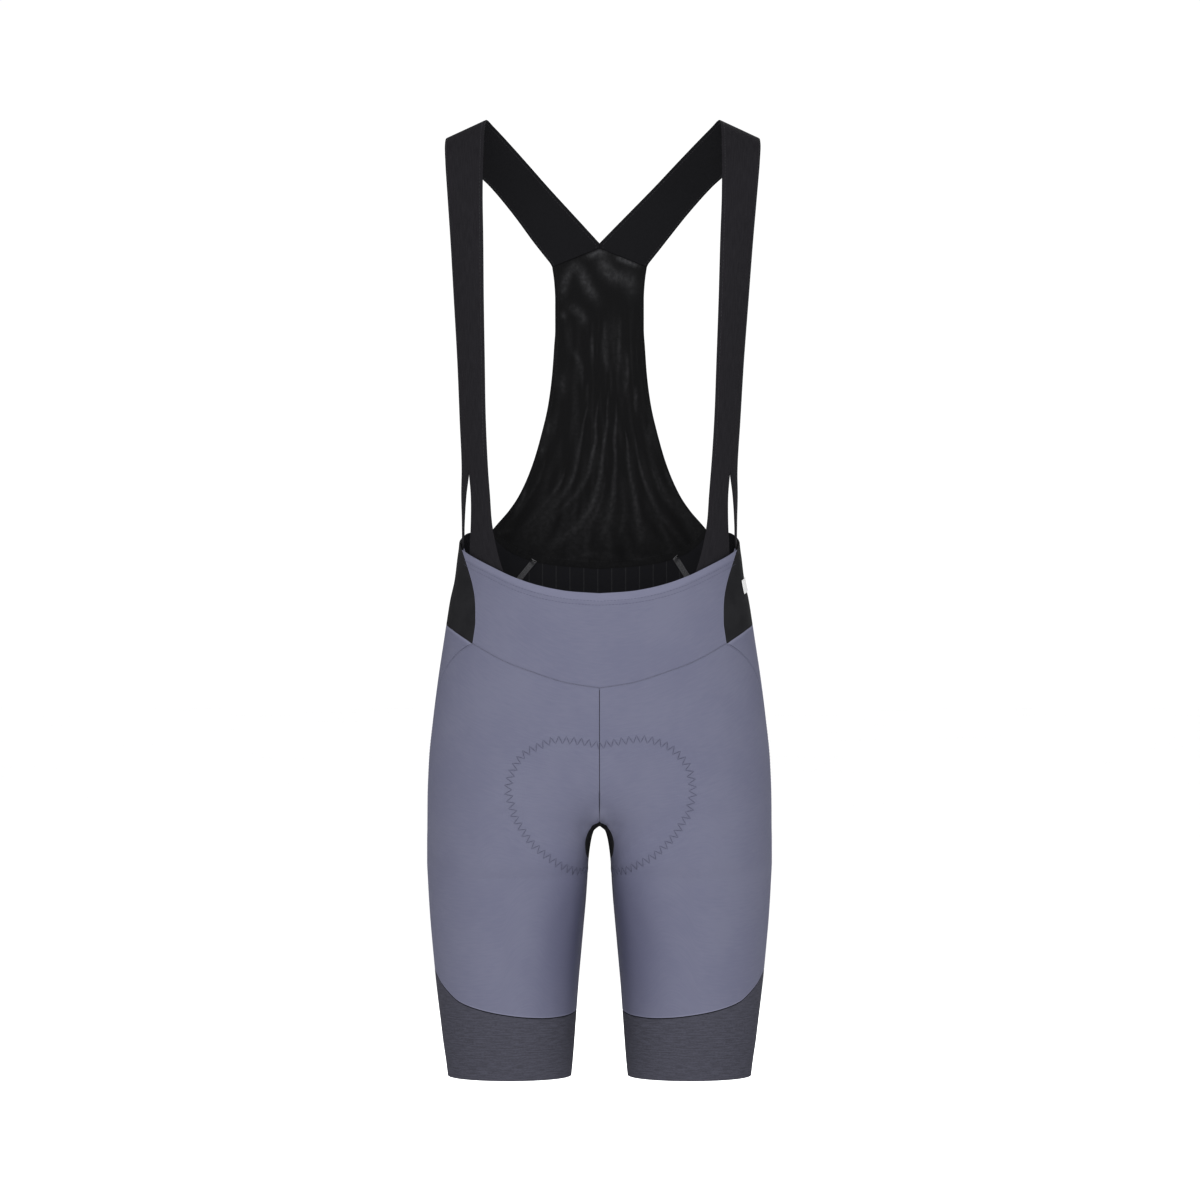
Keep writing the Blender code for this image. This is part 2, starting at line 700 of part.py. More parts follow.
def between(first, last, shares):
    return [tuple(a + (b - a) * t for a, b in zip(first, last)) for t in shares]


def through(points, shares):
    """Points along a smooth curve through the given ones, at shares of their spacing."""
    lengths = [0.0]
    for a, b in zip(points, points[1:]):
        lengths.append(lengths[-1] + (b - a).length)
    parts = [smooth(lengths, [p[k] for p in points], limited=False) for k in range(3)]
    marks = []
    for share in shares:
        i = min(int(share), len(points) - 2)
        marks.append(lengths[i] + (share - i) * (lengths[i + 1] - lengths[i]))
    return [Vector(part(mark) for part in parts) for mark in marks]


def strap_stations():
    """Rows of points up the strap; a row in the slit has its slit line twice."""
    rows = []
    for leg in STRAP_LEGS:
        front = between(on_front(leg.front_inner, leg.front_inner_drop),
                        on_front(leg.front_outer, leg.front_outer_drop), (0, 0.5, 1))
        side = between(on_side(leg.side_front, leg.side_front_drop),
                       on_side(leg.side_back, leg.side_back_drop), (0, 0.5, 1))
        rows.append(strap_row_on_form(front + side))
    for chest in STRAP_CHEST:
        places = between(on_front(chest.inner, chest.drop), on_front(chest.outer, chest.drop),
                         STRAP_ACROSS)
        places.insert(SLIT_LINE, places[SLIT_LINE])
        rows.append(strap_row_on_form(places))
    for edge in STRAP_SHOULDER:
        neck = Vector((edge.neck_x, edge.neck_y, -edge.neck_drop))
        arm = Vector((edge.arm_x, edge.arm_y, -edge.arm_drop))
        line = [neck.lerp(arm, t) for t in STRAP_ACROSS]
        rows.append(line[:SLIT_LINE + 1] + line[SLIT_LINE:])
    for edge in STRAP_BACK:
        neck = form(*on_back(edge.neck_across, edge.neck_drop))
        arm = form(*on_back(edge.arm_across, edge.arm_drop))
        line = [neck.lerp(arm, t) for t in STRAP_ACROSS]
        rows.append(line[:SLIT_LINE + 1] + line[SLIT_LINE:])
    return rows


def strap_lines():
    """The strap's lengthwise lines from the waist to the V, and the row where the slit ends."""
    stations = strap_stations()
    slit_end = len(STRAP_LEGS)
    curved, seam_row = stations[:-1], stations[-1]
    shares = []
    for i in range(len(curved) - 1):
        pieces = STRAP_CHEST_STEPS if slit_end <= i < slit_end + len(STRAP_CHEST) - 1 else 2
        shares += [i + j / pieces for j in range(pieces)]
    shares.append(len(curved) - 1)
    lines = [through([row[c] for row in curved], shares) + [seam_row[c]]
             for c in range(len(seam_row))]
    return lines, shares.index(slit_end)


def swayed(point, side):
    """A strap point on one side, moved sideways with the shoulders; the waist and V stay."""
    start = SWAY_DROP_FRONT if point.y < 0 else SWAY_DROP_BACK
    rise = min(max(1 + point.z / start, 0.0), 1.0)
    return Vector((side * point.x + STRAP_SWAY * rise, point.y, point.z))


def build_straps(black):
    lines, split_at = strap_lines()
    rows, width = len(lines[0]), len(lines)
    number = {}
    points = []
    for r in range(rows):
        for c in range(width):
            if r >= split_at and c == SLIT_LINE + 1:
                number[r, c] = number[r, c - 1]
                continue
            number[r, c] = len(points)
            points.append(lines[c][r])
    faces = []
    for r in range(rows - 1):
        for c in range(width - 1):
            if c == SLIT_LINE:
                continue
            a, b = number[r, c], number[r, c + 1]
            low_a, low_b = number[r + 1, c], number[r + 1, c + 1]
            faces += [(a, low_a, low_b), (a, low_b, b)]
    normals = [Vector() for _ in points]
    for a, b, c in faces:
        face_normal = (points[b] - points[a]).cross(points[c] - points[a])
        for corner in (a, b, c):
            normals[corner] += face_normal
    normals = [n.normalized() for n in normals]
    if normals[number[split_at, 0]].y > 0:
        normals = [-n for n in normals]
    for name, side in (("strap_left", 1), ("strap_right", -1)):
        cloth_solid(name, [swayed(p, side) for p in points],
                    [Vector((side * n.x, n.y, n.z)) for n in normals], faces, STRAP_WALL, black)


def tape_grid(twist):
    places = []
    for u, d in seat_seams(twist)[0]:
        rate = (form(u + 0.01, d) - form(u - 0.01, d)).length / 0.02
        reach = TAPE_WIDTH / 2 / rate
        places.append([(u - reach, d), (u, d), (u + reach, d)])
    return lift(places, -(WALL + LAY_GAP))


def build_tapes(grey):
    """Strips inside the garment, over the seams of the side panels and the lower back."""
    grid_solid("seam_tape_left", *tape_grid(SEAT_TWIST), TAPE_WALL, grey)
    points, normals = tape_grid(-SEAT_TWIST)
    grid_solid("seam_tape_right", *mirror_grids(points, normals), TAPE_WALL, grey)


def build_label(white):
    front_top, back_top, back_low, front_low = [on_side(c.depth, c.drop) for c in LABEL_CORNERS]
    top = between(front_top, back_top, (0, 0.5, 1))
    low = between(front_low, back_low, (0, 0.5, 1))
    places = [[between(a, b, (t,))[0] for a, b in zip(top, low)] for t in (0, 0.5, 1)]
    points, normals = lift(places, LAY_GAP + LABEL_WALL)
    grid_solid("hip_label", points, normals, LABEL_WALL, white)


def main():
    for item in list(bpy.data.objects):
        bpy.data.objects.remove(item, do_unlink=True)
    blue = cloth_material("blue_grey_knit", (0.165, 0.171, 0.235), 0.75)
    heather = cloth_material("heather_gripper", (0.070, 0.070, 0.089), 0.8)
    black = cloth_material("black_knit", (0.018, 0.018, 0.019), 0.7)
    strap_black = cloth_material("black_elastic", (0.020, 0.019, 0.022), 0.65)
    net = cloth_material("black_mesh", (0.010, 0.010, 0.010), 0.6)
    grey = cloth_material("grey_tape", (0.036, 0.036, 0.038), 0.8)
    white = cloth_material("white_label", (0.82, 0.82, 0.82), 0.7)
    build_front_waist(blue)
    build_leg_panels(blue)
    build_grippers(heather)
    build_side_panels(black)
    build_lower_back(black)
    build_mesh_back(net)
    build_gusset(black)
    build_straps(strap_black)
    build_tapes(grey)
    build_label(white)


main()
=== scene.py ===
"""The looks of the cycling bib shorts.

Every sewn piece is a fine shell of cloth on the same body form as its solid. A place on the form
is (around, drop). around runs from 0 at the centre front or the inseam, through 0.5 at the outer
side, to 1 at the centre back or the inseam again. drop is the distance below the shoulders.
Sizes are in millimetres until a mesh is made. X is the wearer's left, Y the back and Z up.
"""

import math
from collections import namedtuple

import bpy
import numpy as np
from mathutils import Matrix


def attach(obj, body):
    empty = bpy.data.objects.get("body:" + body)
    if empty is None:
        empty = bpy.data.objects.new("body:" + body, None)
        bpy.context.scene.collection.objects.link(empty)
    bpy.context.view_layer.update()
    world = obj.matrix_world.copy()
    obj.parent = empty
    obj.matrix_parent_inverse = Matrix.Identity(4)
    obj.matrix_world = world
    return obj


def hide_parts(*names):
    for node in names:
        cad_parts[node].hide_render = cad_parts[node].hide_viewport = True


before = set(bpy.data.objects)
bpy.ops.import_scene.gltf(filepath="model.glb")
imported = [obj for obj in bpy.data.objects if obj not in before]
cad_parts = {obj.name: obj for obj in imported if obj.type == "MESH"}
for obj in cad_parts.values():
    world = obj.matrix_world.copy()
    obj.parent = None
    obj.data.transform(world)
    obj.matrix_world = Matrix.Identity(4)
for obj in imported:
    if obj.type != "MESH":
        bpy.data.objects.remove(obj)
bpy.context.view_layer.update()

MM = 0.001
FINE = 8                  # cells of cloth along each cell of the solids

# ---------------------------------------------------------------- driving sizes (mm)
WALL = 1.4                # knitted panels
NET_WALL = 1.0
STRAP_WALL = 1.4
TAPE_WALL = 0.9
LABEL_WALL = 0.8
EDGE_ROUND = 0.45         # rounding of every cut or folded edge
SEAM_HALF_GAP = 0.12      # each cut edge stops this far from its seam line
OPEN_SEAM_GAP = 0.22      # the same on the centre seams, which show dark: painted shade from the black band behind them
GRIPPER_SEAM_GAP = 0.45   # and on the seam above each gripper
CLOSED_SEAM_GAP = 0.03    # and on the curved seam under the waist, which its stitches fill
PANEL_WALL = 1.5          # wall of the solids' panels, which the straps and tapes lie inside
LAP_GAP = 1.15            # between a panel and the strap tucked in behind it
LAY_GAP = 0.5             # between a panel and a tape or the label

CROTCH_DROP = 697.0
THIGH_BLEND_START = 540.0
CROTCH_ARCH = 7.0
HOLLOW_GROWTH = 0.67
HOLLOW_LIMIT = 3
EVEN_LEG_DROP = 900.0
ROUND_LEG_DROP = 815.0
HEM_DROP = 946.5
TRUNK_POWER = 2.25
LEG_POWER = 2.1
CROTCH_FRONT_POWER = 3.0
CROTCH_BACK_POWER = 2.4
INSEAM_EASE = 0.05

FRONT_COLUMNS = 10 * FINE
HIP_COLUMNS = 7 * FINE
MESH_END_COLUMNS = 4 * FINE
BACK_COLUMNS = 6 * FINE
WAIST_ROWS = 6 * FINE
MESH_ROWS = 16 * FINE
GRIPPER_ROWS = 3 * FINE
CENTRE_ROWS = 8 * FINE
INSEAM_ROWS = 7 * FINE
TAPE_COLUMNS = 8
TAPE_START = 2            # rows of the seam that the tape leaves to its bartack
LABEL_CELLS = 12

TAPE_WIDTH = 8.0
SEAT_TWIST = 5.4          # how far the tops of the seat's seams lie to the wearer's left
STRAP_SWAY = 3.4          # and the tops of the straps
TWISTS = {"left": SEAT_TWIST, "right": -SEAT_TWIST}


def table(columns, *rows):
    """A short table whose rows are read by column name."""
    row_type = namedtuple("Row", columns)
    return [row_type(*row) for row in rows]


TRUNK = table(
    "drop half_width front back",
    (20, 186, 60, 84), (60, 180, 84, 96), (100, 170, 99, 104), (150, 162, 106, 108),
    (200, 156, 108, 106), (250, 151, 106, 100), (300, 144.5, 102, 92), (340, 141.2, 99, 86),
    (380, 140.3, 98, 83), (413, 140.2, 98.5, 83.5), (432, 142.3, 99, 86), (452, 144.8, 100, 89),
    (472, 149.2, 101, 93), (492, 152.4, 102, 97), (512, 155.4, 103, 101), (552, 161.4, 104, 108),
    (592, 166.4, 103, 113), (632, 170.4, 101, 113), (672, 172.0, 99, 109), (697, 172.2, 98, 105),
)
LEGS = table(
    "drop inner outer front back middle",
    (540, 0, 159.5, 98, 104, 3), (620, 0, 169.3, 97.5, 104, 4), (697, 0, 172.2, 94, 98, 4),
    (701, 5.4, 172.2, 93.8, 97.6, 4), (704, 6.6, 172.3, 93.6, 97.3, 4), (712, 8.5, 172.4, 93.2, 96.3, 4),
    (732, 11, 172.4, 92, 93.5, 3), (752, 12.2, 171.5, 90.5, 90.5, 2), (772, 13.6, 170.4, 89, 87.5, 2),
    (792, 15.4, 169, 87, 84.5, 1), (812, 17.2, 167.2, 85, 81.5, 0), (832, 19, 165.3, 82.7, 78.5, -1),
    (852, 20.8, 163.4, 80, 75.5, -1), (872, 22.2, 161.1, 77.5, 72.2, -2), (892, 23.6, 158.6, 74.5, 69, -3),
    (912, 25, 156.2, 71.7, 65.5, -4), (932, 26.6, 153.2, 69, 62, -5), (950, 28.4, 151, 67, 59, -5),
)
WAIST_EDGE = table(
    "across drop",
    (0, 465.2), (28, 463.4), (47.5, 460.3), (67.3, 455.3), (87, 448.2), (107, 438.7),
    (127.2, 428.2), (136.9, 422.2),
)
WAIST_SIDE_SEAM = table(
    "drop across",
    (422.2, 136.9), (434, 132.9), (446.3, 128.8), (458.2, 125.5), (470, 123.4), (481.9, 122.7),
    (493.7, 122.7), (505.5, 124.1), (514.8, 125.5),
)
V_SEAM = table(
    "across drop",
    (0, 558), (30.8, 553.2), (65.1, 542.7), (91.8, 532.8), (125.5, 514.8),
)
HIP_LOWER_SEAM = table(
    "depth drop",
    (-67, 514.8), (-62.5, 511.7), (-50, 505.6), (-34, 500.3), (-10, 496.8), (20, 496), (75, 500),
)
HIP_TOP_EDGE = table(
    "depth drop",
    (-28, 422.2), (-15, 417), (0, 414), (16, 410), (34.6, 404.2), (52, 402.8),
)
LEG_SIDE_SEAM = table(
    "drop depth",
    (514.8, -67), (521.4, -57), (533.4, -42.5), (549.6, -27), (572.7, -14), (600, -5),
    (650, 4), (720, 9), (800, 10), (841, 9),
)
GRIPPER_SEAM = table(
    "across drop",
    (23, 881.7), (33, 884), (50, 884.8), (70.8, 883.6), (92, 881), (109, 878), (126.2, 873.7),
    (140.3, 868), (147, 862.5), (157, 852), (163.6, 841.5),
)
MESH_LOWER_SEAM = table(
    "across drop",
    (0, 437.4), (40.7, 434.4), (67, 429.8), (90.7, 420.3), (110.2, 402.8),
)
MESH_SIDE_EDGE = table(
    "drop across",
    (131.4, 48.6), (148, 46.4), (165, 45.5), (196, 45.5), (212, 46.5), (242, 48.6), (273, 52.6),
    (304, 59.6), (335, 68.6), (365.4, 81.7), (380.8, 91.7), (396, 104.6), (402.8, 110.2),
)
TAPE_SEAM = table(
    "drop across",
    (428.4, 71.3), (438, 78.2), (448.7, 85.9), (470, 98.5), (486, 106), (500, 110),
)
BACK_LOWER_SEAM = table(
    "across drop",
    (0, 511), (55, 507), (110, 500),
)
STRAP_SEAM = table(
    "across drop",
    (0, 111.9), (48.6, 131.4),
)
GUSSET_FRONT = table(
    "across drop",
    (0, 690.4), (7, 695.0), (11.7, 702.7), (13.9, 710.5), (13.6, 719), (12.0, 726),
)
GUSSET_BACK = table(
    "across drop",
    (0, 688), (9, 692.5), (15, 700.5), (17.5, 709), (16.2, 718), (13.0, 726),
)
GUSSET_TIP_DROP = 731.0
STRAP_LEGS = table(
    "front_inner front_inner_drop front_outer front_outer_drop "
    "side_front side_front_drop side_back side_back_drop",
    (90.0, 461, 131.0, 444, -21, 433, 7, 427),
    (101.5, 427, 131.2, 420, -20, 415, 6, 410),
    (107.9, 398, 130.2, 398, -22, 398, 3, 398),
    (109.8, 368, 129.4, 368, -33, 368, -13, 368),
)
STRAP_CHEST = table(
    "inner outer drop",
    (110.9, 137.9, 343), (113.1, 139.5, 294), (114.5, 142.2, 235), (115.9, 146.0, 176),
    (116.9, 149.9, 117),
)
STRAP_SHOULDER = table(
    "neck_x neck_y neck_drop arm_x arm_y arm_drop",
    (118.2, -72, 73.3, 153.6, -46, 70.8),
    (118.2, -54, 30.9, 156.3, -36, 37.4),
    (117.8, -29, 2.9, 157.4, -19, 17.4),
    (116, 0, -8.3, 156, 1, 10.1),
    (109.5, 23, -3.6, 148.5, 22, 17.1),
    (98.2, 41, 6.8, 134.5, 44, 33.9),
    (77, 66, 27.7, 112.5, 71, 52.8),
)
STRAP_BACK = table(
    "neck_across neck_drop arm_across arm_drop",
    (50.9, 54.4, 88.6, 79.6), (25.5, 80.5, 65.2, 109.6), (0, 107, 50.4, 128),
    (0, 111.9, 48.6, 131.4),
)
SLIT_SHARE = 0.6          # place across the strap where its slit opens
STRAP_CELLS = 8           # cells across each of the strap's two legs
STRAP_STEPS = 12          # rows between two stations of the strap
CHEST_STEPS = 24          # the same on the chest
SWAY_DROP_FRONT = 350.0
SWAY_DROP_BACK = 105.0
TUCK_START_DROP = 320.0
TUCK_END_DROP = 396.0

LABEL_CORNERS = table("depth drop", (-30, 452.5), (-9, 449), (-10, 463), (-31.5, 466.5))

# The zigzag that holds the seat pad: right and left halves on the front, one half on the back.
PAD_FRONT = table(
    "right_across right_drop left_across left_drop",
    (0, 614.3, 0, 614.3), (19.6, 610.5, 18.1, 611.1), (42.1, 609.0, 40.6, 608.1),
    (57.3, 614.3, 59.8, 612.1), (76.9, 625.5, 76.4, 622.5), (87.7, 646.3, 88.3, 639.0),
    (89.6, 661.5, 91.4, 658.1), (84.0, 682.6, 88.3, 677.7), (70.5, 705.7, 76.4, 698.9),
    (52.4, 722.7, 55.3, 721.4), (34.8, 734.2, 32.8, 734.2), (21.1, 739.4, 21.5, 739.4),
)
PAD_INSEAM_DROP = 741.0
PAD_BACK = table(
    "across drop",
    (24, 737), (44, 726), (64, 706), (80, 680), (88, 650), (86, 622), (72, 600), (48, 588),
    (22, 585), (0, 590),
)
ZIGZAG_PITCH = 7.3
ZIGZAG_BAND = 8.0
THREAD_RADIUS = 0.21

# Soft folds: their lines as (across, drop), seen from inside on the mesh back.
MESH_FOLDS = table(
    "width height spread line",
    (3.2, 0.9, 0.65, ((-28.3, 317.8), (-33.9, 332.7), (-36.9, 345.9), (-46.6, 362.8), (-62.3, 382.1),
                      (-79.2, 399), (-96.1, 412.3))),
    (3.6, 1.3, 0.65, ((-11.6, 271.4), (-16.2, 291.8), (-19, 310.4), (-22.7, 329), (-28.5, 350.7),
                      (-39.3, 367.6), (-52.6, 382.1), (-70.7, 401.4), (-86.4, 413.5))),
    (3.6, 1.3, 0.65, ((-0.4, 267.7), (-4.1, 291.8), (-4.1, 310.4), (-7.8, 325.2), (-11.6, 343.5),
                      (-21.2, 360.4), (-35.7, 377.3), (-57.4, 395.4), (-74.4, 408.7))),
    (3.9, 1.8, 0.75, ((9.4, 258.4), (7.6, 278.8), (7.6, 293.7), (5.2, 308.5), (3.3, 325.2), (0, 350.7),
                      (-6.7, 372.4), (-17.6, 391.7), (-38.1, 409.9), (-62.3, 425.6), (-74.4, 432.8))),
    (3.9, 1.5, 0.7, ((17.6, 265.8), (16.9, 290), (15.4, 310.4), (16.3, 329), (15, 348.3), (13.8, 365.2),
                      (9.7, 384.5), (2.9, 403.8), (-6.7, 423.1), (-14, 435.2))),
    (3.6, 1.4, 0.8, ((24.7, 284.4), (26.5, 299.2), (28.4, 312.2), (29.3, 327.1), (31.9, 348.3),
                      (36.7, 370), (39.6, 391.7), (42, 418.3), (44, 437.6))),
    (3.4, 1.3, 0.65, ((36.2, 303), (37.7, 316), (39.9, 329), (45.2, 350.7), (53.6, 370), (62.1, 386.9),
                      (73, 399), (85, 411.1))),
    (2.9, 0.7, 0.5, ((-55, 329), (-57.4, 336.2), (-62.3, 350.7), (-70.7, 365.2), (-84, 384.5),
                      (-100.9, 401.4))),
    (2.8, 0.6, 0.5, ((57.3, 333.8), (60.9, 348.3), (68.1, 365.2), (77.8, 379.7), (92.3, 394.2))),
    (3.0, 0.6, 0.5, ((25.9, 365.2), (24.7, 384.5), (22.2, 401.4), (15, 420.7))),
    (2.8, 0.6, 0.5, ((6.5, 343.5), (4.1, 360.4), (-0.7, 377.3), (-11.6, 396.6), (-26.1, 413.5))),
    (2.8, 0.5, 0.5, ((53.6, 338.6), (60.9, 357.9), (73, 377.3), (85, 390.5))),
)
# Paler clouds of moiré and painted sheen where the mesh's two layers cross: the line, width and strength of
# each.
MOIRE_AND_SHEEN_CLOUDS = table(
    "width strength line",
    (3.2, 0.72, ((-14.6, 121.6), (-4.1, 117.3), (4.9, 115.9), (9.8, 117))),
    (6.5, 0.42, ((0.7, 117.4), (2.8, 125.1), (6.3, 132.8), (12.6, 139), (19.6, 143.2))),
    (7.5, 0.27, ((7, 134.1), (18.2, 141.1), (29.3, 143.9), (39.1, 147.4))),
    (6.0, 0.2, ((26.5, 139), (32.1, 150.2), (32.8, 164.1))),
    (3.0, 0.95, ((16.1, 120.6), (21.6, 122.6), (27.9, 125.4), (34.9, 128.2), (40.5, 130.1))),
    (4.0, 0.4, ((-22.2, 127.2), (-30.6, 135.5), (-35.5, 147.4), (-37.8, 162.7))),
    (4.8, 0.5, ((-26.4, 127.2), (-17.4, 139), (-12.5, 150.2), (-6.9, 159.9), (-2, 167.6))),
    (4.4, 0.34, ((-32, 171.1), (-22.2, 176.6), (-17.4, 182.2), (-16.4, 192))),
    (3.0, 0.3, ((-37.4, 176.5), (-36.6, 185.5))),
    (2.2, 0.42, ((5.6, 185), (5.3, 201.7), (5.7, 217.5), (7.6, 237.9))),
    (2.0, 0.3, ((21.2, 180.8), (20.3, 201.7), (20, 217.5), (18.7, 241.7))),
    (2.0, 0.26, ((-8.3, 200.3), (-7.3, 217.5), (-6.5, 230.5))),
    (2.8, 0.22, ((-28.3, 213.8), (-20.3, 230.5), (-18.8, 252.8))),
    (2.0, 0.24, ((28.4, 217.5), (28.7, 239.8), (26.1, 262.1))),
    (3.0, 0.15, ((-37.6, 241.7), (-38.5, 263.9))),
    (1.8, 0.31, ((37.8, 252.8), (36.7, 278.8))),
    (1.9, 0.17, ((-12.1, 249.1), (-13.6, 269.5))),
    (2.2, 0.2, ((50.3, 291.8), (51.8, 314.1))),
    (1.7, 0.2, ((-51.5, 290.9), (-53.4, 303))),
    (1.7, 0.2, ((-57.4, 314.1), (-59.7, 325.2))),
    (1.8, 0.34, ((-72.4, 354.3), (-78.7, 368.8), (-86.9, 383.3))),
    (1.8, 0.34, ((65.7, 337.4), (70.1, 348.3), (74.2, 357.9))),
    (3.0, 0.1, ((-35.7, 431.6), (-16.4, 426.3), (2.9, 425.1), (17.4, 429.2))),
    (3.2, 0.1, ((22.2, 428), (44, 430.4), (63.3, 425.6))),
    (1.8, 0.17, ((-107, 405.8), (-96.1, 401.9), (-86.4, 401.4))),
)
# Soft creases of the blue cloth near the crotch and hips, on the left half.
FRONT_FOLDS = table(
    "width height line",
    (7.0, 0.7, ((17, 728), (30, 716), (46, 700), (58, 684))),
    (8.0, -0.6, ((16, 742), (34, 744), (58, 736), (80, 722))),
    (6.0, 0.5, ((15, 716), (24, 700), (32, 682))),
    (9.0, -0.5, ((24, 770), (38, 790), (46, 822))),
    (10.0, 0.5, ((112, 560), (122, 590), (128, 640))),
)
BACK_FOLDS = table(
    "width height line",
    (7.0, -0.9, ((14, 744), (34, 752), (62, 750), (92, 738))),
    (8.0, 0.8, ((15, 760), (36, 770), (66, 772))),
    (6.0, -0.6, ((10, 700), (26, 712), (48, 716))),
    (9.0, 0.6, ((60, 540), (74, 575), (82, 620))),
    (9.0, -0.5, ((26, 800), (44, 812), (74, 816))),
)
# Painted shade on the inner side of the cloth of each leg, on both of its faces.
PAINTED_SHADE_PLACES = table(
    "width strength line",
    (12.0, 0.55, ((16, 722), (18, 750), (22, 790), (26, 840), (28, 880), (29, 905))),
    (30.0, 0.7, ((24, 705), (28, 745), (34, 790), (38, 840), (42, 900))),
)
# Painted highlight on the blue cloth over the front of the crotch, just above the gusset.
CROTCH_HIGHLIGHT_LINE = ((0.3, 683), (3, 686), (7, 691), (11, 698))
CROTCH_HIGHLIGHT_WIDTH = 9.0


# ---------------------------------------------------------------- smooth curves
def unit(vectors):
    return vectors / np.maximum(np.linalg.norm(vectors, axis=-1, keepdims=True), 1e-12)


def tangents(places, values, limited):
    """End slopes for a smooth curve; a limited one never swings past its points."""
    steps = np.diff(places)
    slopes = np.diff(values) / steps
    before, after, h0, h1 = slopes[:-1], slopes[1:], steps[:-1], steps[1:]
    if limited:
        same = before * after > 0
        weighted = (2 * h1 + h0) / np.where(same, before, 1) + (h1 + 2 * h0) / np.where(same, after, 1)
        inner = np.where(same, 3 * (h0 + h1) / np.where(same, weighted, 1), 0.0)
    else:
        inner = (before * h1 + after * h0) / (h0 + h1)
    return np.concatenate([slopes[:1], inner, slopes[-1:]])


def smooth(places, values, limited=True):
    """A smooth function through the given points, in straight lines past its ends."""
    places, values = np.array(places, float), np.array(values, float)
    ends = tangents(places, values, limited)

    def at(place):
        place = np.asarray(place, float)
        inside = np.clip(place, places[0], places[-1])
        i = np.clip(np.searchsorted(places, inside, side="left") - 1, 0, len(places) - 2)
        h = places[i + 1] - places[i]
        t = (inside - places[i]) / h
        curve = (values[i] * (1 + 2 * t) * (1 - t) ** 2 + values[i + 1] * t * t * (3 - 2 * t)
                 + h * (ends[i] * t * (1 - t) ** 2 - ends[i + 1] * t * t * (1 - t)))
        beyond = place - inside
        return curve + beyond * np.where(beyond < 0, ends[0], ends[-1])

    return at


def column(rows, place, value):
    """The smooth function that gives one column of a table from another."""
    return smooth([getattr(r, place) for r in rows], [getattr(r, value) for r in rows])


trunk_half_width = column(TRUNK, "drop", "half_width")
trunk_front = column(TRUNK, "drop", "front")
trunk_back = column(TRUNK, "drop", "back")
leg_inner_squared = smooth([r.drop for r in LEGS], [r.inner ** 2 for r in LEGS])
leg_outer = column(LEGS, "drop", "outer")
leg_front = column(LEGS, "drop", "front")
leg_back = column(LEGS, "drop", "back")
leg_middle = column(LEGS, "drop", "middle")


# ---------------------------------------------------------------- body form
def arch(share, power):
    """Height of a rounded arch, 1 in the middle and 0 where share reaches -1 or 1."""
    return np.maximum(0.0, 1 - np.abs(share) ** power) ** (1 / power)


def soft_step(value, start, end):
    t = np.clip((value - start) / (end - start), 0.0, 1.0)
    return t * t * (3 - 2 * t)


def eased(around):
    """around, slowed near both ends so that the section leaves the inseam slowly."""
    ease = INSEAM_EASE
    starting = around * around / (2 * ease)
    ending = 1 - ease - (1 - around) ** 2 / (2 * ease)
    middle = around - ease / 2
    return np.where(around < ease, starting, np.where(around > 1 - ease, ending, middle)) / (1 - ease)


def thigh_power(inner_half, front, drop):
    """Rounding of a thigh's section; its inner half is squarer near the crotch."""
    crotch_power = np.where(front, CROTCH_FRONT_POWER, CROTCH_BACK_POWER)
    power = crotch_power + (LEG_POWER - crotch_power) * soft_step(drop, CROTCH_DROP, ROUND_LEG_DROP)
    return np.where(inner_half, power, LEG_POWER)


def thigh_share(around, drop):
    """Place across a thigh, from -1 at its inner side to 1 at its outer side."""
    side = np.cos(2 * math.pi * (eased(around) - 0.5))
    return np.sign(side) * np.abs(side) ** (2 / thigh_power(side <= 0, around < 0.5, drop))


def thigh_depth(share, front, drop):
    """How far a thigh's cloth stands towards the front (negative) or the back."""
    middle = leg_middle(drop)
    depth = np.where(front, -leg_front(drop), leg_back(drop)) - middle
    return middle + depth * arch(share, thigh_power(share <= 0, front, drop))


def leg_section(around, drop):
    share = thigh_share(around, drop)
    near = (1 + share) / 2
    opened, outer = np.maximum(leg_inner_squared(drop), 0.0), leg_outer(drop)
    inner = np.sqrt(opened)
    pushed = np.sqrt(opened + near ** 2 * (outer ** 2 - opened))
    even = inner + near * (outer - inner)
    x = pushed + (even - pushed) * soft_step(drop, CROTCH_DROP, EVEN_LEG_DROP)
    return x, thigh_depth(share, around < 0.5, drop)


def trunk_section(around, drop):
    """The section above the crotch, which takes on the form of two thighs as it comes down."""
    width = trunk_half_width(drop)
    thighs = soft_step(drop, THIGH_BLEND_START, CROTCH_DROP)
    trunk_x = width * np.maximum(np.cos(math.pi * (around - 0.5)), 0.0) ** (2 / TRUNK_POWER)
    leg_x = width * (1 + thigh_share(around, drop)) / 2
    x = trunk_x + thighs * (leg_x - trunk_x)

    height = np.maximum(CROTCH_DROP - drop, 0.0)
    closed = np.minimum(CROTCH_ARCH * height + HOLLOW_GROWTH * height ** 2, width ** 2 / HOLLOW_LIMIT)
    near = np.sqrt((x ** 2 + closed) / (width ** 2 + closed))
    front = around < 0.5
    trunk_y = np.where(front, -trunk_front(drop), trunk_back(drop)) * arch(x / width, TRUNK_POWER)
    return x, trunk_y + thighs * (thigh_depth(2 * near - 1, front, drop) - trunk_y)


def form(around, drop):
    """Points of the left half of the body form, in mm, with z up."""
    around, drop = np.broadcast_arrays(np.asarray(around, float), np.asarray(drop, float))
    leg_x, leg_y = leg_section(around % 1.0, drop)
    side = np.where((around < 0) | (around > 1), -1.0, 1.0)
    folded = np.where(around < 0, -around, np.where(around > 1, 2 - around, around))
    trunk_x, trunk_y = trunk_section(folded, drop)
    on_leg = drop >= CROTCH_DROP
    return np.stack([np.where(on_leg, leg_x, side * trunk_x), np.where(on_leg, leg_y, trunk_y), -drop], -1)


NORMAL_STEP_AROUND = 0.002
NORMAL_STEP_DOWN = 0.4
SEARCH_ROUNDS = 40


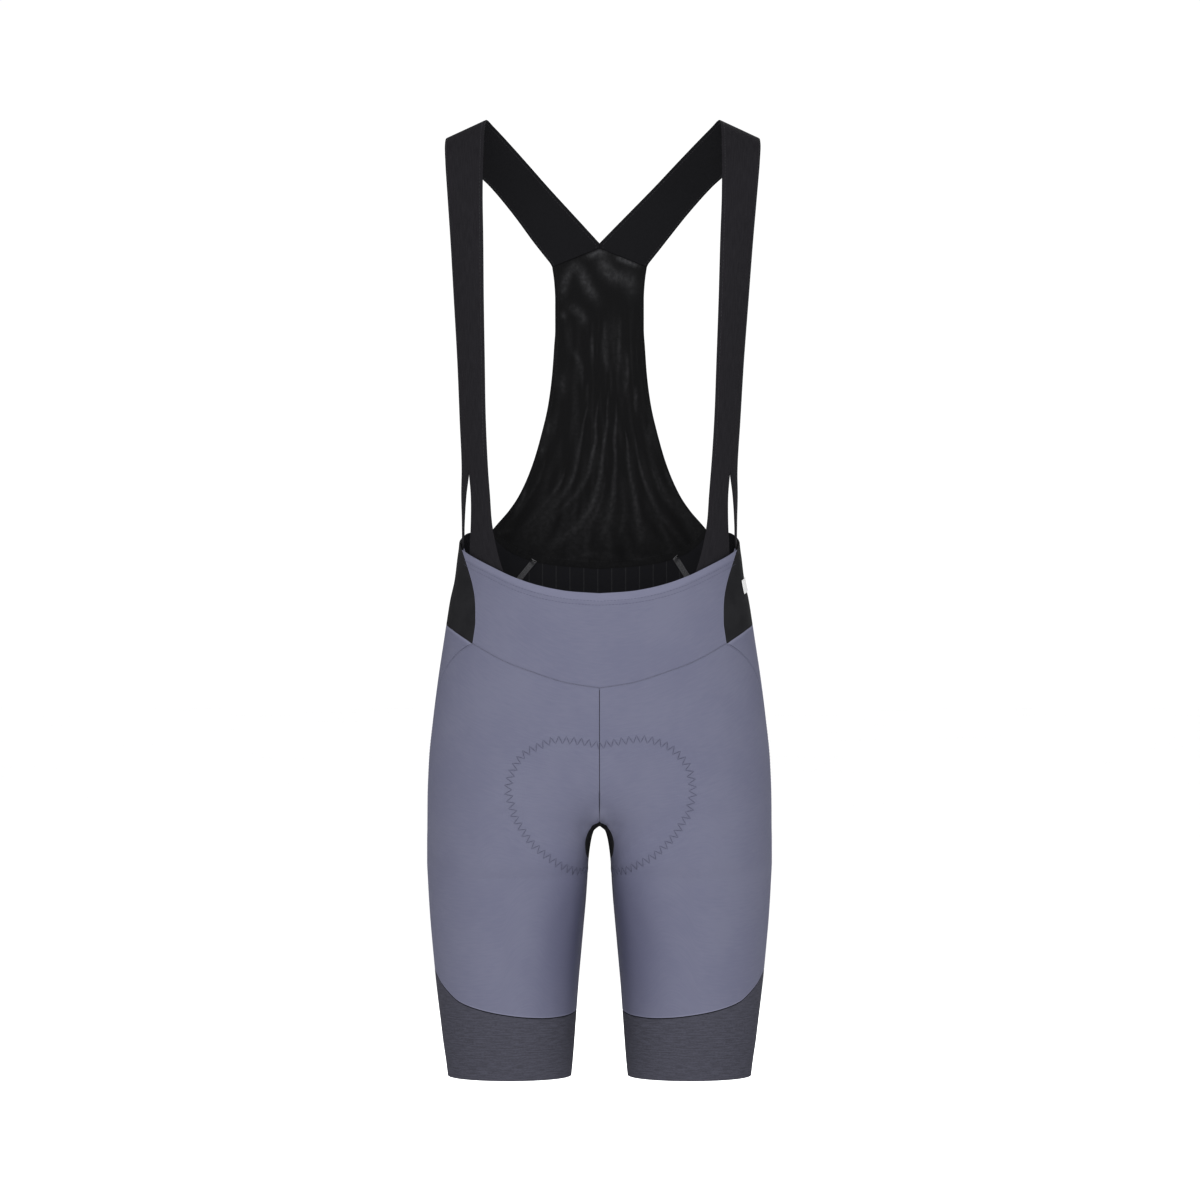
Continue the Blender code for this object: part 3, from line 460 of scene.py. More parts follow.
def outward(around, drop):
    """The form's unit normals, away from the body."""
    along_form = form(around + NORMAL_STEP_AROUND, drop) - form(around - NORMAL_STEP_AROUND, drop)
    down_form = form(around, drop + NORMAL_STEP_DOWN) - form(around, drop - NORMAL_STEP_DOWN)
    return unit(np.cross(down_form, along_form))


def search(low, high, value_at, wanted):
    """The places between low and high where steadily changing values are the wanted ones."""
    low, high = np.full(np.shape(wanted), low), np.full(np.shape(wanted), high)
    rising = value_at(high) > value_at(low)
    for _ in range(SEARCH_ROUNDS):
        middle = (low + high) / 2
        short = (value_at(middle) < wanted) == rising
        low, high = np.where(short, middle, low), np.where(short, high, middle)
    return (low + high) / 2


def places(around, drop):
    return np.stack(np.broadcast_arrays(around, drop), -1).astype(float)


def finder(first, last, axis):
    """A function that finds places by drop and x or y, on the stretch from first to last round the form."""

    def find(wanted, drop):
        wanted, drop = np.asarray(wanted, float), np.asarray(drop, float)
        return places(search(first, last, lambda around: form(around, drop)[..., axis], wanted), drop)

    return find


on_front = finder(0.0, 0.5, axis=0)
on_side = finder(0.2, 0.8, axis=1)
on_back = finder(0.5, 1.0, axis=0)


# ---------------------------------------------------------------- seam lines, as (around, drop)
def along(rows, place, value, ends, count, onto):
    """count + 1 places along a seam whose table gives one column from another."""
    at = np.linspace(*ends, count + 1)
    found = column(rows, place, value)(at)
    return onto(found, at) if place == "drop" else onto(at, found)


TURN_ROUNDS = 14
FIRST_GUESS_DROP = 500.0
CROWDING = 1.35


def by_turn(drop_at, first, last, count, axis=0):
    """count + 1 places, evenly round the body, on a seam whose drop depends on x or y."""
    around = np.linspace(first, last, count + 1)
    drop = np.full(count + 1, FIRST_GUESS_DROP)
    for _ in range(TURN_ROUNDS):
        drop = drop_at(form(around, drop)[:, axis])
    return places(around, drop)


def crowded(around, first, last, count):
    """Places that lie closer together towards the last one."""
    share = 1 - (1 - np.linspace(0, 1, count + 1)) ** CROWDING
    return places(around, first + (last - first) * share)


def refined(coarse):
    """A smooth line through the given places, with FINE steps for each of its own."""
    marks = np.arange(len(coarse))
    fine = np.linspace(0, len(coarse) - 1, (len(coarse) - 1) * FINE + 1)
    return np.stack([smooth(marks, coarse[:, k])(fine) for k in (0, 1)], -1)


def joined(*lines):
    """Lines of places, end to end."""
    return np.concatenate([lines[0]] + [line[1:] for line in lines[1:]])


def gusset_outline(rows, onto, tip_around):
    outline = onto([r.across for r in rows], [r.drop for r in rows])
    outline[0, 0] = tip_around
    return refined(np.concatenate([outline, [(tip_around, GUSSET_TIP_DROP)]]))


waist_drop = column(WAIST_EDGE, "across", "drop")
v_seam_drop = column(V_SEAM, "across", "drop")
hip_top_drop = column(HIP_TOP_EDGE, "depth", "drop")
hip_lower_drop = column(HIP_LOWER_SEAM, "depth", "drop")
gripper_drop = column(GRIPPER_SEAM, "across", "drop")
mesh_lower_drop = column(MESH_LOWER_SEAM, "across", "drop")

waist_corner = on_front(WAIST_EDGE[-1].across, WAIST_EDGE[-1].drop)
hip_corner = on_front(V_SEAM[-1].across, V_SEAM[-1].drop)
mesh_corner = on_back(MESH_LOWER_SEAM[-1].across, MESH_LOWER_SEAM[-1].drop)
back_corner = on_back(BACK_LOWER_SEAM[-1].across, BACK_LOWER_SEAM[-1].drop)

waist_edge = by_turn(waist_drop, 0, waist_corner[0], FRONT_COLUMNS)
v_seam = by_turn(v_seam_drop, 0, hip_corner[0], FRONT_COLUMNS)
waist_side = along(WAIST_SIDE_SEAM, "drop", "across", (waist_corner[1], hip_corner[1]),
                   WAIST_ROWS, on_front)
waist_side[0], waist_side[-1] = waist_edge[-1], v_seam[-1]
back_lower = along(BACK_LOWER_SEAM, "across", "drop", (BACK_LOWER_SEAM[-1].across, 0),
                   BACK_COLUMNS, on_back)
hip_top = by_turn(hip_top_drop, waist_corner[0], mesh_corner[0], HIP_COLUMNS, axis=1)
hip_top[0], hip_top[-1] = waist_edge[-1], mesh_corner
hip_lower = by_turn(hip_lower_drop, hip_corner[0], back_corner[0],
                    HIP_COLUMNS + MESH_END_COLUMNS, axis=1)
hip_lower[0], hip_lower[-1] = v_seam[-1], back_lower[0]

SEAT_COLUMNS = HIP_COLUMNS + MESH_END_COLUMNS + BACK_COLUMNS
LEG_ROWS = CENTRE_ROWS + len(GUSSET_FRONT) * FINE + INSEAM_ROWS
leg_side = along(LEG_SIDE_SEAM, "drop", "depth", (hip_corner[1], LEG_SIDE_SEAM[-1].drop),
                 LEG_ROWS, on_side)
side_turn = leg_side[-1][0]
gripper_front = by_turn(gripper_drop, 0, side_turn, FRONT_COLUMNS)
gripper_back = by_turn(gripper_drop, side_turn, 1, SEAT_COLUMNS)
leg_side[0], leg_side[-1] = v_seam[-1], gripper_front[-1]

gusset_front = gusset_outline(GUSSET_FRONT, on_front, 0.0)
gusset_back = gusset_outline(GUSSET_BACK, on_back, 1.0)
centre_front = crowded(0.0, v_seam[0][1], gusset_front[0][1], CENTRE_ROWS)
centre_back = crowded(1.0, back_lower[-1][1], gusset_back[0][1], CENTRE_ROWS)
inseam_drops = np.linspace(GUSSET_TIP_DROP, gripper_front[0][1], INSEAM_ROWS + 1)
inseam_front, inseam_back = places(0.0, inseam_drops), places(1.0, inseam_drops)


def seat_seams(twist):
    """The tape seam and the two stretches of the mesh's lower seam, moved out by the twist."""
    tape_across = column(TAPE_SEAM, "drop", "across")
    top, low = TAPE_SEAM[0], TAPE_SEAM[-1]
    start = top.across + twist
    start_drop = float(mesh_lower_drop(start))
    drops = np.linspace(start_drop, low.drop, WAIST_ROWS + 1)
    share = (low.drop - drops) / (low.drop - start_drop)
    tape = on_back(tape_across(drops) + (start - tape_across(start_drop)) * share, drops)
    end = along(MESH_LOWER_SEAM, "across", "drop", (MESH_LOWER_SEAM[-1].across, start),
                MESH_END_COLUMNS, on_back)
    middle = along(MESH_LOWER_SEAM, "across", "drop", (start, 0), BACK_COLUMNS, on_back)
    end[0] = mesh_corner
    tape[0] = end[-1] = middle[0]
    tape[-1] = back_corner
    return tape, end, middle


# ---------------------------------------------------------------- grids of cloth
def patch(top, bottom, start, end):
    """Rows of places that fill the region between four seams."""
    t = np.linspace(0, 1, len(start))[:, None, None]
    s = np.linspace(0, 1, len(top))[None, :, None]
    return ((1 - t) * top + t * bottom + (1 - s) * start[:, None] + s * end[:, None]
            - (1 - t) * ((1 - s) * top[0] + s * top[-1]) - t * ((1 - s) * bottom[0] + s * bottom[-1]))


def lift(grid, height=0.0):
    """Points and normals on the form for any array of places."""
    around, drop = grid[..., 0], grid[..., 1]
    normals = outward(around, drop)
    return form(around, drop) + normals * height, normals


def mirrored(vectors):
    return vectors * (-1.0, 1.0, 1.0)


def turned(side, line):
    """Points and normals of the left half, carried over to the side they are meant for."""
    return list(line) if side == "left" else [mirrored(v) for v in line]


def both_sides(line):
    """Points and normals on the left, and their twins on the right."""
    return [(side, turned(side, line)) for side in ("left", "right")]


def both_halves(left, right, axis=1):
    """One grid or line from two halves that end on the centre; the right one is mirrored."""
    back = np.arange(left[0].shape[axis] - 1)[::-1]
    return [np.concatenate([half, mirrored(other).take(back, axis)], axis)
            for half, other in zip(left, right)]


def grid_faces(rows, columns):
    """Quads of a grid, numbered row by row."""
    corner = np.arange(rows)[:, None] * (columns + 1) + np.arange(columns)[None]
    below = corner + columns + 1
    return np.stack([corner, below, below + 1, corner + 1], -1).reshape(-1, 4)


def cloth_lengths(points, centred=False):
    """How far along its row and down its column each point of a grid lies, on the cloth."""
    across, down = np.zeros(points.shape[:2]), np.zeros(points.shape[:2])
    across[:, 1:] = np.cumsum(np.linalg.norm(np.diff(points, axis=1), axis=2), axis=1)
    down[1:] = np.cumsum(np.linalg.norm(np.diff(points, axis=0), axis=2), axis=0)
    if centred:
        middle = across.shape[1] // 2
        across = across[:, middle:middle + 1] - across
    return np.stack([across, down], -1)


# ---------------------------------------------------------------- relief
LINE_STEP = 2.5           # between the points of a surface line
FEWEST_MARKS = 8
NEAR_REACH = 3            # widths from a line past which it no longer counts
FADE_START, FADE_END = 0.02, 0.97      # so that a fading line keeps a little strength at its ends
FADE_POWER = 0.7


def line_marks(line):
    """How far along a line each of its points lies."""
    return np.concatenate([[0], np.cumsum(np.linalg.norm(np.diff(line, axis=0), axis=1))])


def surface_line(line, onto):
    """Closely spaced points on the form, along a smooth line through (across, drop) pairs."""
    line = np.array(line, float)
    lengths = line_marks(line)
    marks = np.linspace(0, lengths[-1], max(FEWEST_MARKS, int(lengths[-1] / LINE_STEP)))
    across, drop = [smooth(lengths, line[:, k], limited=False)(marks) for k in (0, 1)]
    spots = onto(np.abs(across), drop)
    points = form(spots[:, 0], spots[:, 1])
    points[:, 0] = np.abs(points[:, 0]) * np.where(across < 0, -1, 1)
    return points


def nearness(points, line, width, fading=True, spread=0.0, lean=1.0):
    """1 on a line and soft round it.

    A fading line also dies out towards both of its ends, sooner at its start where lean is under 1.
    spread widens it along its length.
    """
    result = np.zeros(len(points))
    reach = NEAR_REACH * width * (1 + spread)
    close = np.all((points > line.min(0) - reach) & (points < line.max(0) + reach), axis=1)
    if not close.any():
        return result
    gaps = np.linalg.norm(points[close][:, None] - line[None], axis=2)
    share = gaps.argmin(1) / (len(line) - 1)
    shown = np.clip(share, FADE_START, FADE_END)
    fade = np.sin(math.pi * shown ** lean) ** FADE_POWER if fading else 1.0
    widths = width * (1 + spread * (2 * share - 1))
    result[close] = fade * np.exp(-(gaps.min(1) / widths) ** 2)
    return result


def pad_line(side):
    """The pad's stitch line on one leg, from the centre front round the inseam to the back."""
    front = on_front([getattr(r, side + "_across") for r in PAD_FRONT],
                     [getattr(r, side + "_drop") for r in PAD_FRONT])
    back = on_back([r.across for r in PAD_BACK], [r.drop for r in PAD_BACK])
    inseam = (0.0, PAD_INSEAM_DROP)
    front = np.concatenate([front, [inseam]])
    back = np.concatenate([[(1.0, PAD_INSEAM_DROP)], back])
    spots = joined(refined(front), refined(back))
    points, normals = lift(spots)
    points[:, 0] = np.maximum(points[:, 0], 0)
    return points, normals


PAD_TROUGH = 0.35
PAD_TROUGH_WIDTH = 3.4


def leg_relief(points, folds, onto, side):
    """Creases near the crotch and the shallow trough that the pad's zigzag pulls in."""
    flat = points.reshape(-1, 3)
    creases = sum(f.height * nearness(flat, surface_line(f.line, onto), f.width) for f in folds)
    trough = nearness(flat, pad_line(side)[0], PAD_TROUGH_WIDTH, fading=False)
    return (creases - PAD_TROUGH * trough).reshape(points.shape[:-1])


# ---------------------------------------------------------------- shells
def border_steps(faces):
    """Border corners of a set of faces: each one, the one before it and the one after it."""
    ends = np.stack([faces, np.roll(faces, -1, axis=1)], -1).reshape(-1, 2)
    ends = ends[ends[:, 0] != ends[:, 1]]
    directed = set(map(tuple, ends.tolist()))
    after = {a: b for a, b in directed if (b, a) not in directed}
    before = {b: a for a, b in after.items()}
    here = sorted(after)
    return np.array(here), np.array([before[i] for i in here]), np.array([after[i] for i in here])


def facing_out(points, normals, faces):
    a, b, c = (points[faces[:, k]] for k in (0, 1, 2))
    total = np.sum(np.cross(b - a, c - a) * normals[faces[:, 0]])
    return faces if total > 0 else faces[:, ::-1]


def make_mesh(name, points, faces, material):
    mesh = bpy.data.meshes.new(name)
    mesh.from_pydata((points * MM).tolist(), [], [tuple(dict.fromkeys(f)) for f in faces])
    mesh.materials.append(material)
    mesh.shade_smooth()
    mesh.validate()
    piece = bpy.data.objects.new(name, mesh)
    bpy.context.scene.collection.objects.link(piece)
    return piece


def store(piece, name, kind, values):
    """Keeps one value or vector for each point of a piece, for its material to read."""
    layer = piece.data.attributes.new(name, kind, "POINT")
    key = "vector" if kind == "FLOAT_VECTOR" else "value"
    layer.data.foreach_set(key, np.ascontiguousarray(values, dtype=np.float32).ravel())


RIM_ANGLES = (0, 35, 65, 90)
SHARPEST_CORNER = 0.6     # keeps the rim of a sharp corner from reaching far into the cloth


def shell(name, points, normals, faces, lengths, look, wall, gap=SEAM_HALF_GAP, **shades):
    """A closed wall of cloth with rounded edges, its outer face on the points."""
    points, normals, lengths = points.reshape(-1, 3), normals.reshape(-1, 3), lengths.reshape(-1, 2)
    faces = facing_out(points, normals, faces)
    here, before, after = border_steps(faces)
    gap = np.broadcast_to(gap, len(points))[here, None]
    up = normals[here]
    into_before = unit(np.cross(up, points[here] - points[before]))
    into_after = unit(np.cross(up, points[after] - points[here]))
    turn = np.sum(into_before * into_after, axis=1, keepdims=True)
    into = (into_before + into_after) / np.maximum(SHARPEST_CORNER, 1 + turn)

    rounding = min(EDGE_ROUND, wall / 2)
    rim = []
    for angle in np.radians(RIM_ANGLES):
        rim.append((rounding * (1 - math.sin(angle)), rounding * (1 - math.cos(angle))))
    rim += [(inset, wall - depth) for inset, depth in rim[::-1]]

    outer, inner = points.copy(), points - normals * wall
    rings = [points[here] + into * (gap + inset) - up * depth for inset, depth in rim]
    outer[here], inner[here] = rings[0], rings[-1]
    count, edge = len(points), len(here)
    numbers = [here] + [2 * count + edge * i + np.arange(edge) for i in range(len(rings) - 2)]
    numbers.append(here + count)
    following = np.searchsorted(here, after)
    strips = [np.stack([high, low, low[following], high[following]], -1)
              for high, low in zip(numbers, numbers[1:])]
    all_points = np.concatenate([outer, inner] + rings[1:-1])
    all_faces = np.concatenate([faces, faces[:, ::-1] + count] + strips)
    piece = make_mesh(name, all_points, all_faces.tolist(), look)

    middle_rings = len(rings) - 2
    inside = np.concatenate([np.zeros(count), np.ones(count)]
                            + [np.full(edge, float(i >= middle_rings / 2)) for i in range(middle_rings)])
    spread = np.concatenate([lengths, lengths] + [lengths[here]] * middle_rings) * MM
    store(piece, "cloth", "FLOAT_VECTOR", np.column_stack([spread, inside]))
    for shade, amount in shades.items():
        amount = amount.reshape(-1)
        store(piece, shade, "FLOAT", np.concatenate([amount, amount] + [amount[here]] * middle_rings))
    return piece


def grid_shell(name, points, normals, look, wall, centred=False, **more):
    faces = grid_faces(points.shape[0] - 1, points.shape[1] - 1)
    return shell(name, points, normals, faces, cloth_lengths(points, centred), look, wall, **more)


# ---------------------------------------------------------------- threads
def tubes(name, paths, normals, radius, material, sides=6):
    """One mesh of round threads; paths and normals are (threads, points, 3)."""
    way = unit(np.gradient(paths, axis=1))
    side = unit(np.cross(way, normals))
    up = np.cross(side, way)
    angles = np.arange(sides) * (2 * math.pi / sides)
    rings = (paths[:, :, None] + radius * (np.cos(angles)[:, None] * side[:, :, None]
                                           + np.sin(angles)[:, None] * up[:, :, None]))
    threads, steps = paths.shape[:2]
    number = np.arange(threads * steps * sides).reshape(threads, steps, sides)
    turned = np.roll(number, -1, axis=2)
    quads = np.stack([number[:, :-1], turned[:, :-1], turned[:, 1:], number[:, 1:]], -1).reshape(-1, 4)
    caps = number[:, 0, ::-1].tolist() + number[:, -1].tolist()
    return make_mesh(name, rings.reshape(-1, 3), quads.tolist() + caps, material)


def walked(points, normals, marks):
    """Points and normals at given distances along a line."""
    lengths = line_marks(points)
    at = [np.stack([np.interp(marks, lengths, v[:, k]) for k in range(3)], -1) for v in (points, normals)]
    return at[0], unit(at[1])


def line_length(points):
    return float(np.linalg.norm(np.diff(points, axis=0), axis=1).sum())


STITCH_POINTS = 5
STITCH_RISE = 1.5         # of a stitch's middle over its ends, in thread radii
STITCH_SINK = 0.9         # of its ends into the cloth
ZIGZAG_STEPS = 4          # points along each stroke of a zigzag
LOWEST_HOP = 0.2          # share of its height that a zigzag keeps at its corners


def stitches(lines, stitch, gap, radius):
    """Paths and normals of separate stitches along several lines of (points, normals)."""
    paths, ups = [], []
    share = np.linspace(0, 1, STITCH_POINTS)
    arched = radius * (STITCH_RISE * np.sin(math.pi * share) - STITCH_SINK)
    for points, normals in lines:
        count = max(1, int(line_length(points) / (stitch + gap)))
        starts = (np.arange(count) + 0.5) * line_length(points) / count - stitch / 2
        at, up = walked(points, normals, starts[:, None] + stitch * share)
        paths.append(at + up * arched[:, None])
        ups.append(up)
    return np.concatenate(paths), np.concatenate(ups)


def zigzag(points, normals, pitch, band, height):
    """A thread that runs to and fro across a line, close over the cloth."""
    count = int(line_length(points) / pitch) * 2
    marks = np.linspace(0, line_length(points), count + 1)
    at, up = walked(points, normals, marks)
    side = unit(np.cross(unit(np.gradient(at, axis=0)), up))
    turn = np.where(np.arange(count + 1) % 2, 0.5, -0.5)[:, None]
    corners = at + side * band * turn
    share = np.arange(ZIGZAG_STEPS)[:, None] / ZIGZAG_STEPS
    path = (corners[:-1, None] * (1 - share) + corners[1:, None] * share).reshape(-1, 3)
    ups = np.repeat(up[:-1], ZIGZAG_STEPS, axis=0)
    hop = np.tile(np.sin(math.pi * np.arange(ZIGZAG_STEPS) / ZIGZAG_STEPS), count)[:, None]
    return path + ups * (height * (LOWEST_HOP + (1 - LOWEST_HOP) * hop)), ups


# ---------------------------------------------------------------- materials
def linear(red, green, blue):
    """A screen colour of 0 to 255 as a linear one."""
    return tuple((c / 255 / 12.92) if c <= 10 else ((c / 255 + 0.055) / 1.055) ** 2.4
                 for c in (red, green, blue))


LOOP_SLANT = 0.6          # of a knitted loop, in courses
LOOP_HEIGHT = 0.35
WALE_HEIGHT = 0.6
FLECK_HEIGHT = 0.8        # of the gripper's flecks, against its courses
RIB_HEIGHT = 0.6          # of the strap's ribs, against its fibres
FINE_KNIT = (0.0008, 0.0009)          # pitch of the wales and of the courses (m)
STRIPED_GROUND = (0.0009, 0.001)
TAPE_KNIT = (0.0013, 0.0013)


class Cloth:
    """A Principled material whose colour and bump are built from the cloth's own lengths."""

    def __init__(self, name, roughness, specular):
        self.material = bpy.data.materials.new(name)
        self.material.use_nodes = True
        self.tree = self.material.node_tree
        self.shader = self.tree.nodes["Principled BSDF"]
        self.shader.inputs["Roughness"].default_value = roughness
        self.shader.inputs["Specular IOR Level"].default_value = specular

    def node(self, kind, **settings):
        made = self.tree.nodes.new(kind)
        for key, value in settings.items():
            setattr(made, key, value)
        return made

    def put(self, socket, value):
        if isinstance(value, bpy.types.NodeSocket):
            self.tree.links.new(value, socket)
        else:
            socket.default_value = (*value, 1.0) if socket.type == "RGBA" else value

    def attribute(self, name, output="Vector"):
        return self.node("ShaderNodeAttribute", attribute_name=name).outputs[output]

    def lengths(self):
        """across and down the cloth in metres, and 1 on its inner face."""
        split = self.node("ShaderNodeSeparateXYZ")
        self.put(split.inputs[0], self.attribute("cloth"))
        return split.outputs

    def maths(self, operation, *values):
        made = self.node("ShaderNodeMath", operation=operation)
        for socket, value in zip(made.inputs, values):
            self.put(socket, value)
        return made.outputs[0]

    def vector(self, x, y, z=0.0):
        made = self.node("ShaderNodeCombineXYZ")
        for socket, value in zip(made.inputs, (x, y, z)):
            self.put(socket, value)
        return made.outputs[0]

    def noise(self, vector, scale, detail):
        made = self.node("ShaderNodeTexNoise")
        self.put(made.inputs["Vector"], vector)
        self.put(made.inputs["Scale"], scale)
        self.put(made.inputs["Detail"], detail)
        return made.outputs["Fac"]

    def ramp(self, value, low, high, to_low=0.0, to_high=1.0):
        made = self.node("ShaderNodeMapRange", interpolation_type="SMOOTHSTEP")
        for socket, number in zip(made.inputs, (value, low, high, to_low, to_high)):
            self.put(socket, number)
        return made.outputs["Result"]

    def mix(self, share, first, second):
        made = self.node("ShaderNodeMix", data_type="RGBA")
        self.put(made.inputs["Factor"], share)
        self.put(made.inputs[6], first)
        self.put(made.inputs[7], second)
        return made.outputs[2]

    def clouds(self, scale, detail):
        """Noise by place on the garment."""
        return self.noise(self.node("ShaderNodeTexCoord").outputs["Object"], scale, detail)

    def grain(self, across, down, per_metre, detail):
        """Noise that is drawn out on the cloth, with its own count to the metre across and down."""
        ways = [self.maths("MULTIPLY", way, count) for way, count in zip((across, down), per_metre)]
        return self.noise(self.vector(*ways), 1, detail)

    def blend(self, first, second, share):
        """That share of the first value, and the rest of the second."""
        return self.maths("MULTIPLY_ADD", first, share, self.maths("MULTIPLY", second, 1 - share))

    def mottled(self, value, low, high, spread):
        """A colour that goes from low to high while a value goes from spread under 0.5 to spread over it."""
        return self.mix(self.ramp(value, 0.5 - spread, 0.5 + spread), low, high)

    def wave(self, value, period):
        """A cosine of a length: 1 at each whole period and -1 half way."""
        return self.maths("COSINE", self.maths("MULTIPLY", value, 2 * math.pi / period))

    def finish(self, colour, height, depth):
        self.put(self.shader.inputs["Base Color"], colour)
        bump = self.node("ShaderNodeBump")
        self.put(bump.inputs["Height"], height)
        self.put(bump.inputs["Distance"], depth)
        self.put(bump.inputs["Strength"], 1.0)
        self.put(self.shader.inputs["Normal"], bump.outputs["Normal"])
        return self.material

    def knit(self, across, down, wale, course):
        """Height of fine knitting: upright wales of small slanted loops."""
        turns = self.maths("MULTIPLY", across, math.pi / wale)
        in_wale = self.maths("ABSOLUTE", self.maths("SINE", turns))
        slant = self.maths("MULTIPLY_ADD", in_wale, course * LOOP_SLANT, down)
        loops = self.maths("MULTIPLY", self.wave(slant, course), LOOP_HEIGHT)
        return self.maths("MULTIPLY_ADD", in_wale, WALE_HEIGHT, loops)


def blue_knit():
    """Smooth matt stretch knit with a slight uneven, crosswise grain."""
    cloth = Cloth("blue_grey_knit", roughness=0.9, specular=0.05)
    across, down, _ = cloth.lengths()
    grain = cloth.grain(across, down, per_metre=(70, 620), detail=3)
    both = cloth.blend(cloth.clouds(scale=18, detail=3), grain, share=0.5)
    colour = cloth.mottled(both, BLUE_LOW, BLUE_HIGH, spread=0.15)
    # painted highlights along hems and seams and over the front of the crotch
    colour = cloth.mix(cloth.attribute("pale", "Fac"), colour, BLUE_HIGHLIGHT)
    # painted shade on the inner side of each leg
    colour = cloth.mix(cloth.attribute("deep", "Fac"), colour, BLUE_PAINTED_SHADE)
    return cloth.finish(colour, cloth.knit(across, down, *FINE_KNIT), depth=0.00004)


def heather_knit():
    """Flecked elastic knit, with short pale and dark crosswise streaks."""
    cloth = Cloth("heather_gripper", roughness=0.95, specular=0.04)
    across, down, _ = cloth.lengths()
    wide = cloth.grain(across, down, per_metre=(85, 850), detail=2)
    short = cloth.grain(across, down, per_metre=(420, 1700), detail=1)
    fleck = cloth.blend(wide, short, share=0.6)
    colour = cloth.mottled(fleck, HEATHER_LOW, HEATHER_HIGH, spread=0.14)
    height = cloth.maths("MULTIPLY_ADD", fleck, FLECK_HEIGHT, cloth.wave(down, period=0.0011))
    return cloth.finish(colour, height, depth=0.00006)


def black_knit():
    """Smooth matt stretch knit, a little darker on its inner face."""
    cloth = Cloth("black_knit", roughness=0.9, specular=0.03)
    across, down, inside = cloth.lengths()
    outer = cloth.mottled(cloth.clouds(scale=45, detail=4), BLACK_LOW, BLACK_HIGH, spread=0.15)
    colour = cloth.mix(inside, outer, BLACK_INSIDE)
    return cloth.finish(colour, cloth.knit(across, down, *FINE_KNIT), depth=0.00005)


STRIPE_PITCH = 0.0143     # the stripes' sizes (m)
STRIPE_WIDTH = 0.0009
STRIPE_HEIGHT = 1.5       # of a stripe, against the knit's own relief


def striped_knit():
    """Black knit with thin paler upright lines."""
    cloth = Cloth("ribbed_knit", roughness=0.9, specular=0.03)
    across, down, _ = cloth.lengths()
    shifted = cloth.maths("ADD", across, -SEAT_TWIST * MM)
    apart = cloth.maths("PINGPONG", shifted, STRIPE_PITCH / 2)
    broken = cloth.grain(across, down, per_metre=(1, 260), detail=2)
    line = cloth.ramp(apart, STRIPE_PITCH / 2 - STRIPE_WIDTH, STRIPE_PITCH / 2)
    line = cloth.maths("MULTIPLY", line, cloth.ramp(broken, low=0.2, high=0.6, to_low=0.45))
    colour = cloth.mix(line, STRIPED_LOW, STRIPED_HIGH)
    height = cloth.maths("MULTIPLY_ADD", line, STRIPE_HEIGHT, cloth.knit(across, down, *STRIPED_GROUND))
    return cloth.finish(colour, height, depth=0.00008)


NET_PITCH = 0.0011        # (m)


def net_knit():
    """Fine soft mesh of staggered round holes, paler with moiré and painted sheen where its two layers
    cross, and with painted highlights where it folds.
    """
    cloth = Cloth("black_mesh", roughness=0.8, specular=0.04)
    across, down, _ = cloth.lengths()
    holes = cloth.maths("MULTIPLY", cloth.wave(across, NET_PITCH), cloth.wave(down, NET_PITCH))
    open_share = cloth.ramp(holes, low=0.2, high=0.9)
    uneven = cloth.ramp(cloth.clouds(scale=260, detail=2), low=0.3, high=0.7, to_low=0.6, to_high=1.3)
    # paleness stored on the mesh: moiré with painted sheen, and painted highlights on folds and streaks
    pale = cloth.maths("MULTIPLY", cloth.attribute("pale", "Fac"), uneven)
    ground = cloth.mix(pale, NET_LOW, NET_PALE_AND_SHEEN)
    colour = cloth.mix(open_share, ground, NET_HOLE)
    height = cloth.maths("MULTIPLY", open_share, -1.0)
    return cloth.finish(colour, height, depth=0.0001)


def strap_elastic():
    """Flat matt elastic with fine lengthwise ribs, darker on its inner face."""
    cloth = Cloth("black_elastic", roughness=0.9, specular=0.04)
    across, down, inside = cloth.lengths()
    fibres = cloth.grain(across, down, per_metre=(900, 70), detail=2)
    outer = cloth.mottled(fibres, STRAP_LOW, STRAP_HIGH, spread=0.2)
    colour = cloth.mix(inside, outer, STRAP_INSIDE)
    height = cloth.maths("MULTIPLY_ADD", cloth.wave(across, period=0.0012), RIB_HEIGHT, fibres)
    return cloth.finish(colour, height, depth=0.00005)


def tape_knit():
    """Coarse flecked tape."""
    cloth = Cloth("grey_tape", roughness=0.95, specular=0.05)
    across, down, _ = cloth.lengths()
    fleck = cloth.grain(across, down, per_metre=(900, 900), detail=2)
    colour = cloth.mottled(fleck, TAPE_LOW, TAPE_HIGH, spread=0.2)
    return cloth.finish(colour, cloth.knit(across, down, *TAPE_KNIT), depth=0.00012)


def label_weave():
    """Plain weave of the blank label."""
    cloth = Cloth("white_label", roughness=0.8, specular=0.1)
    across, down, _ = cloth.lengths()
    weave = cloth.maths("MULTIPLY", cloth.wave(across, period=0.0006), cloth.wave(down, period=0.0006))
    colour = cloth.mix(cloth.ramp(weave, low=-1, high=1), LABEL_LOW, LABEL_HIGH)
    return cloth.finish(colour, weave, depth=0.00004)


def thread(name, colour):
    """Twisted sewing thread."""
    cloth = Cloth(name, roughness=0.6, specular=0.1)
    ply = cloth.clouds(scale=1400, detail=1)
    shade = tuple(c * THREAD_SHADE for c in colour)
    return cloth.finish(cloth.mottled(ply, shade, colour, spread=0.15), ply, depth=0.00006)


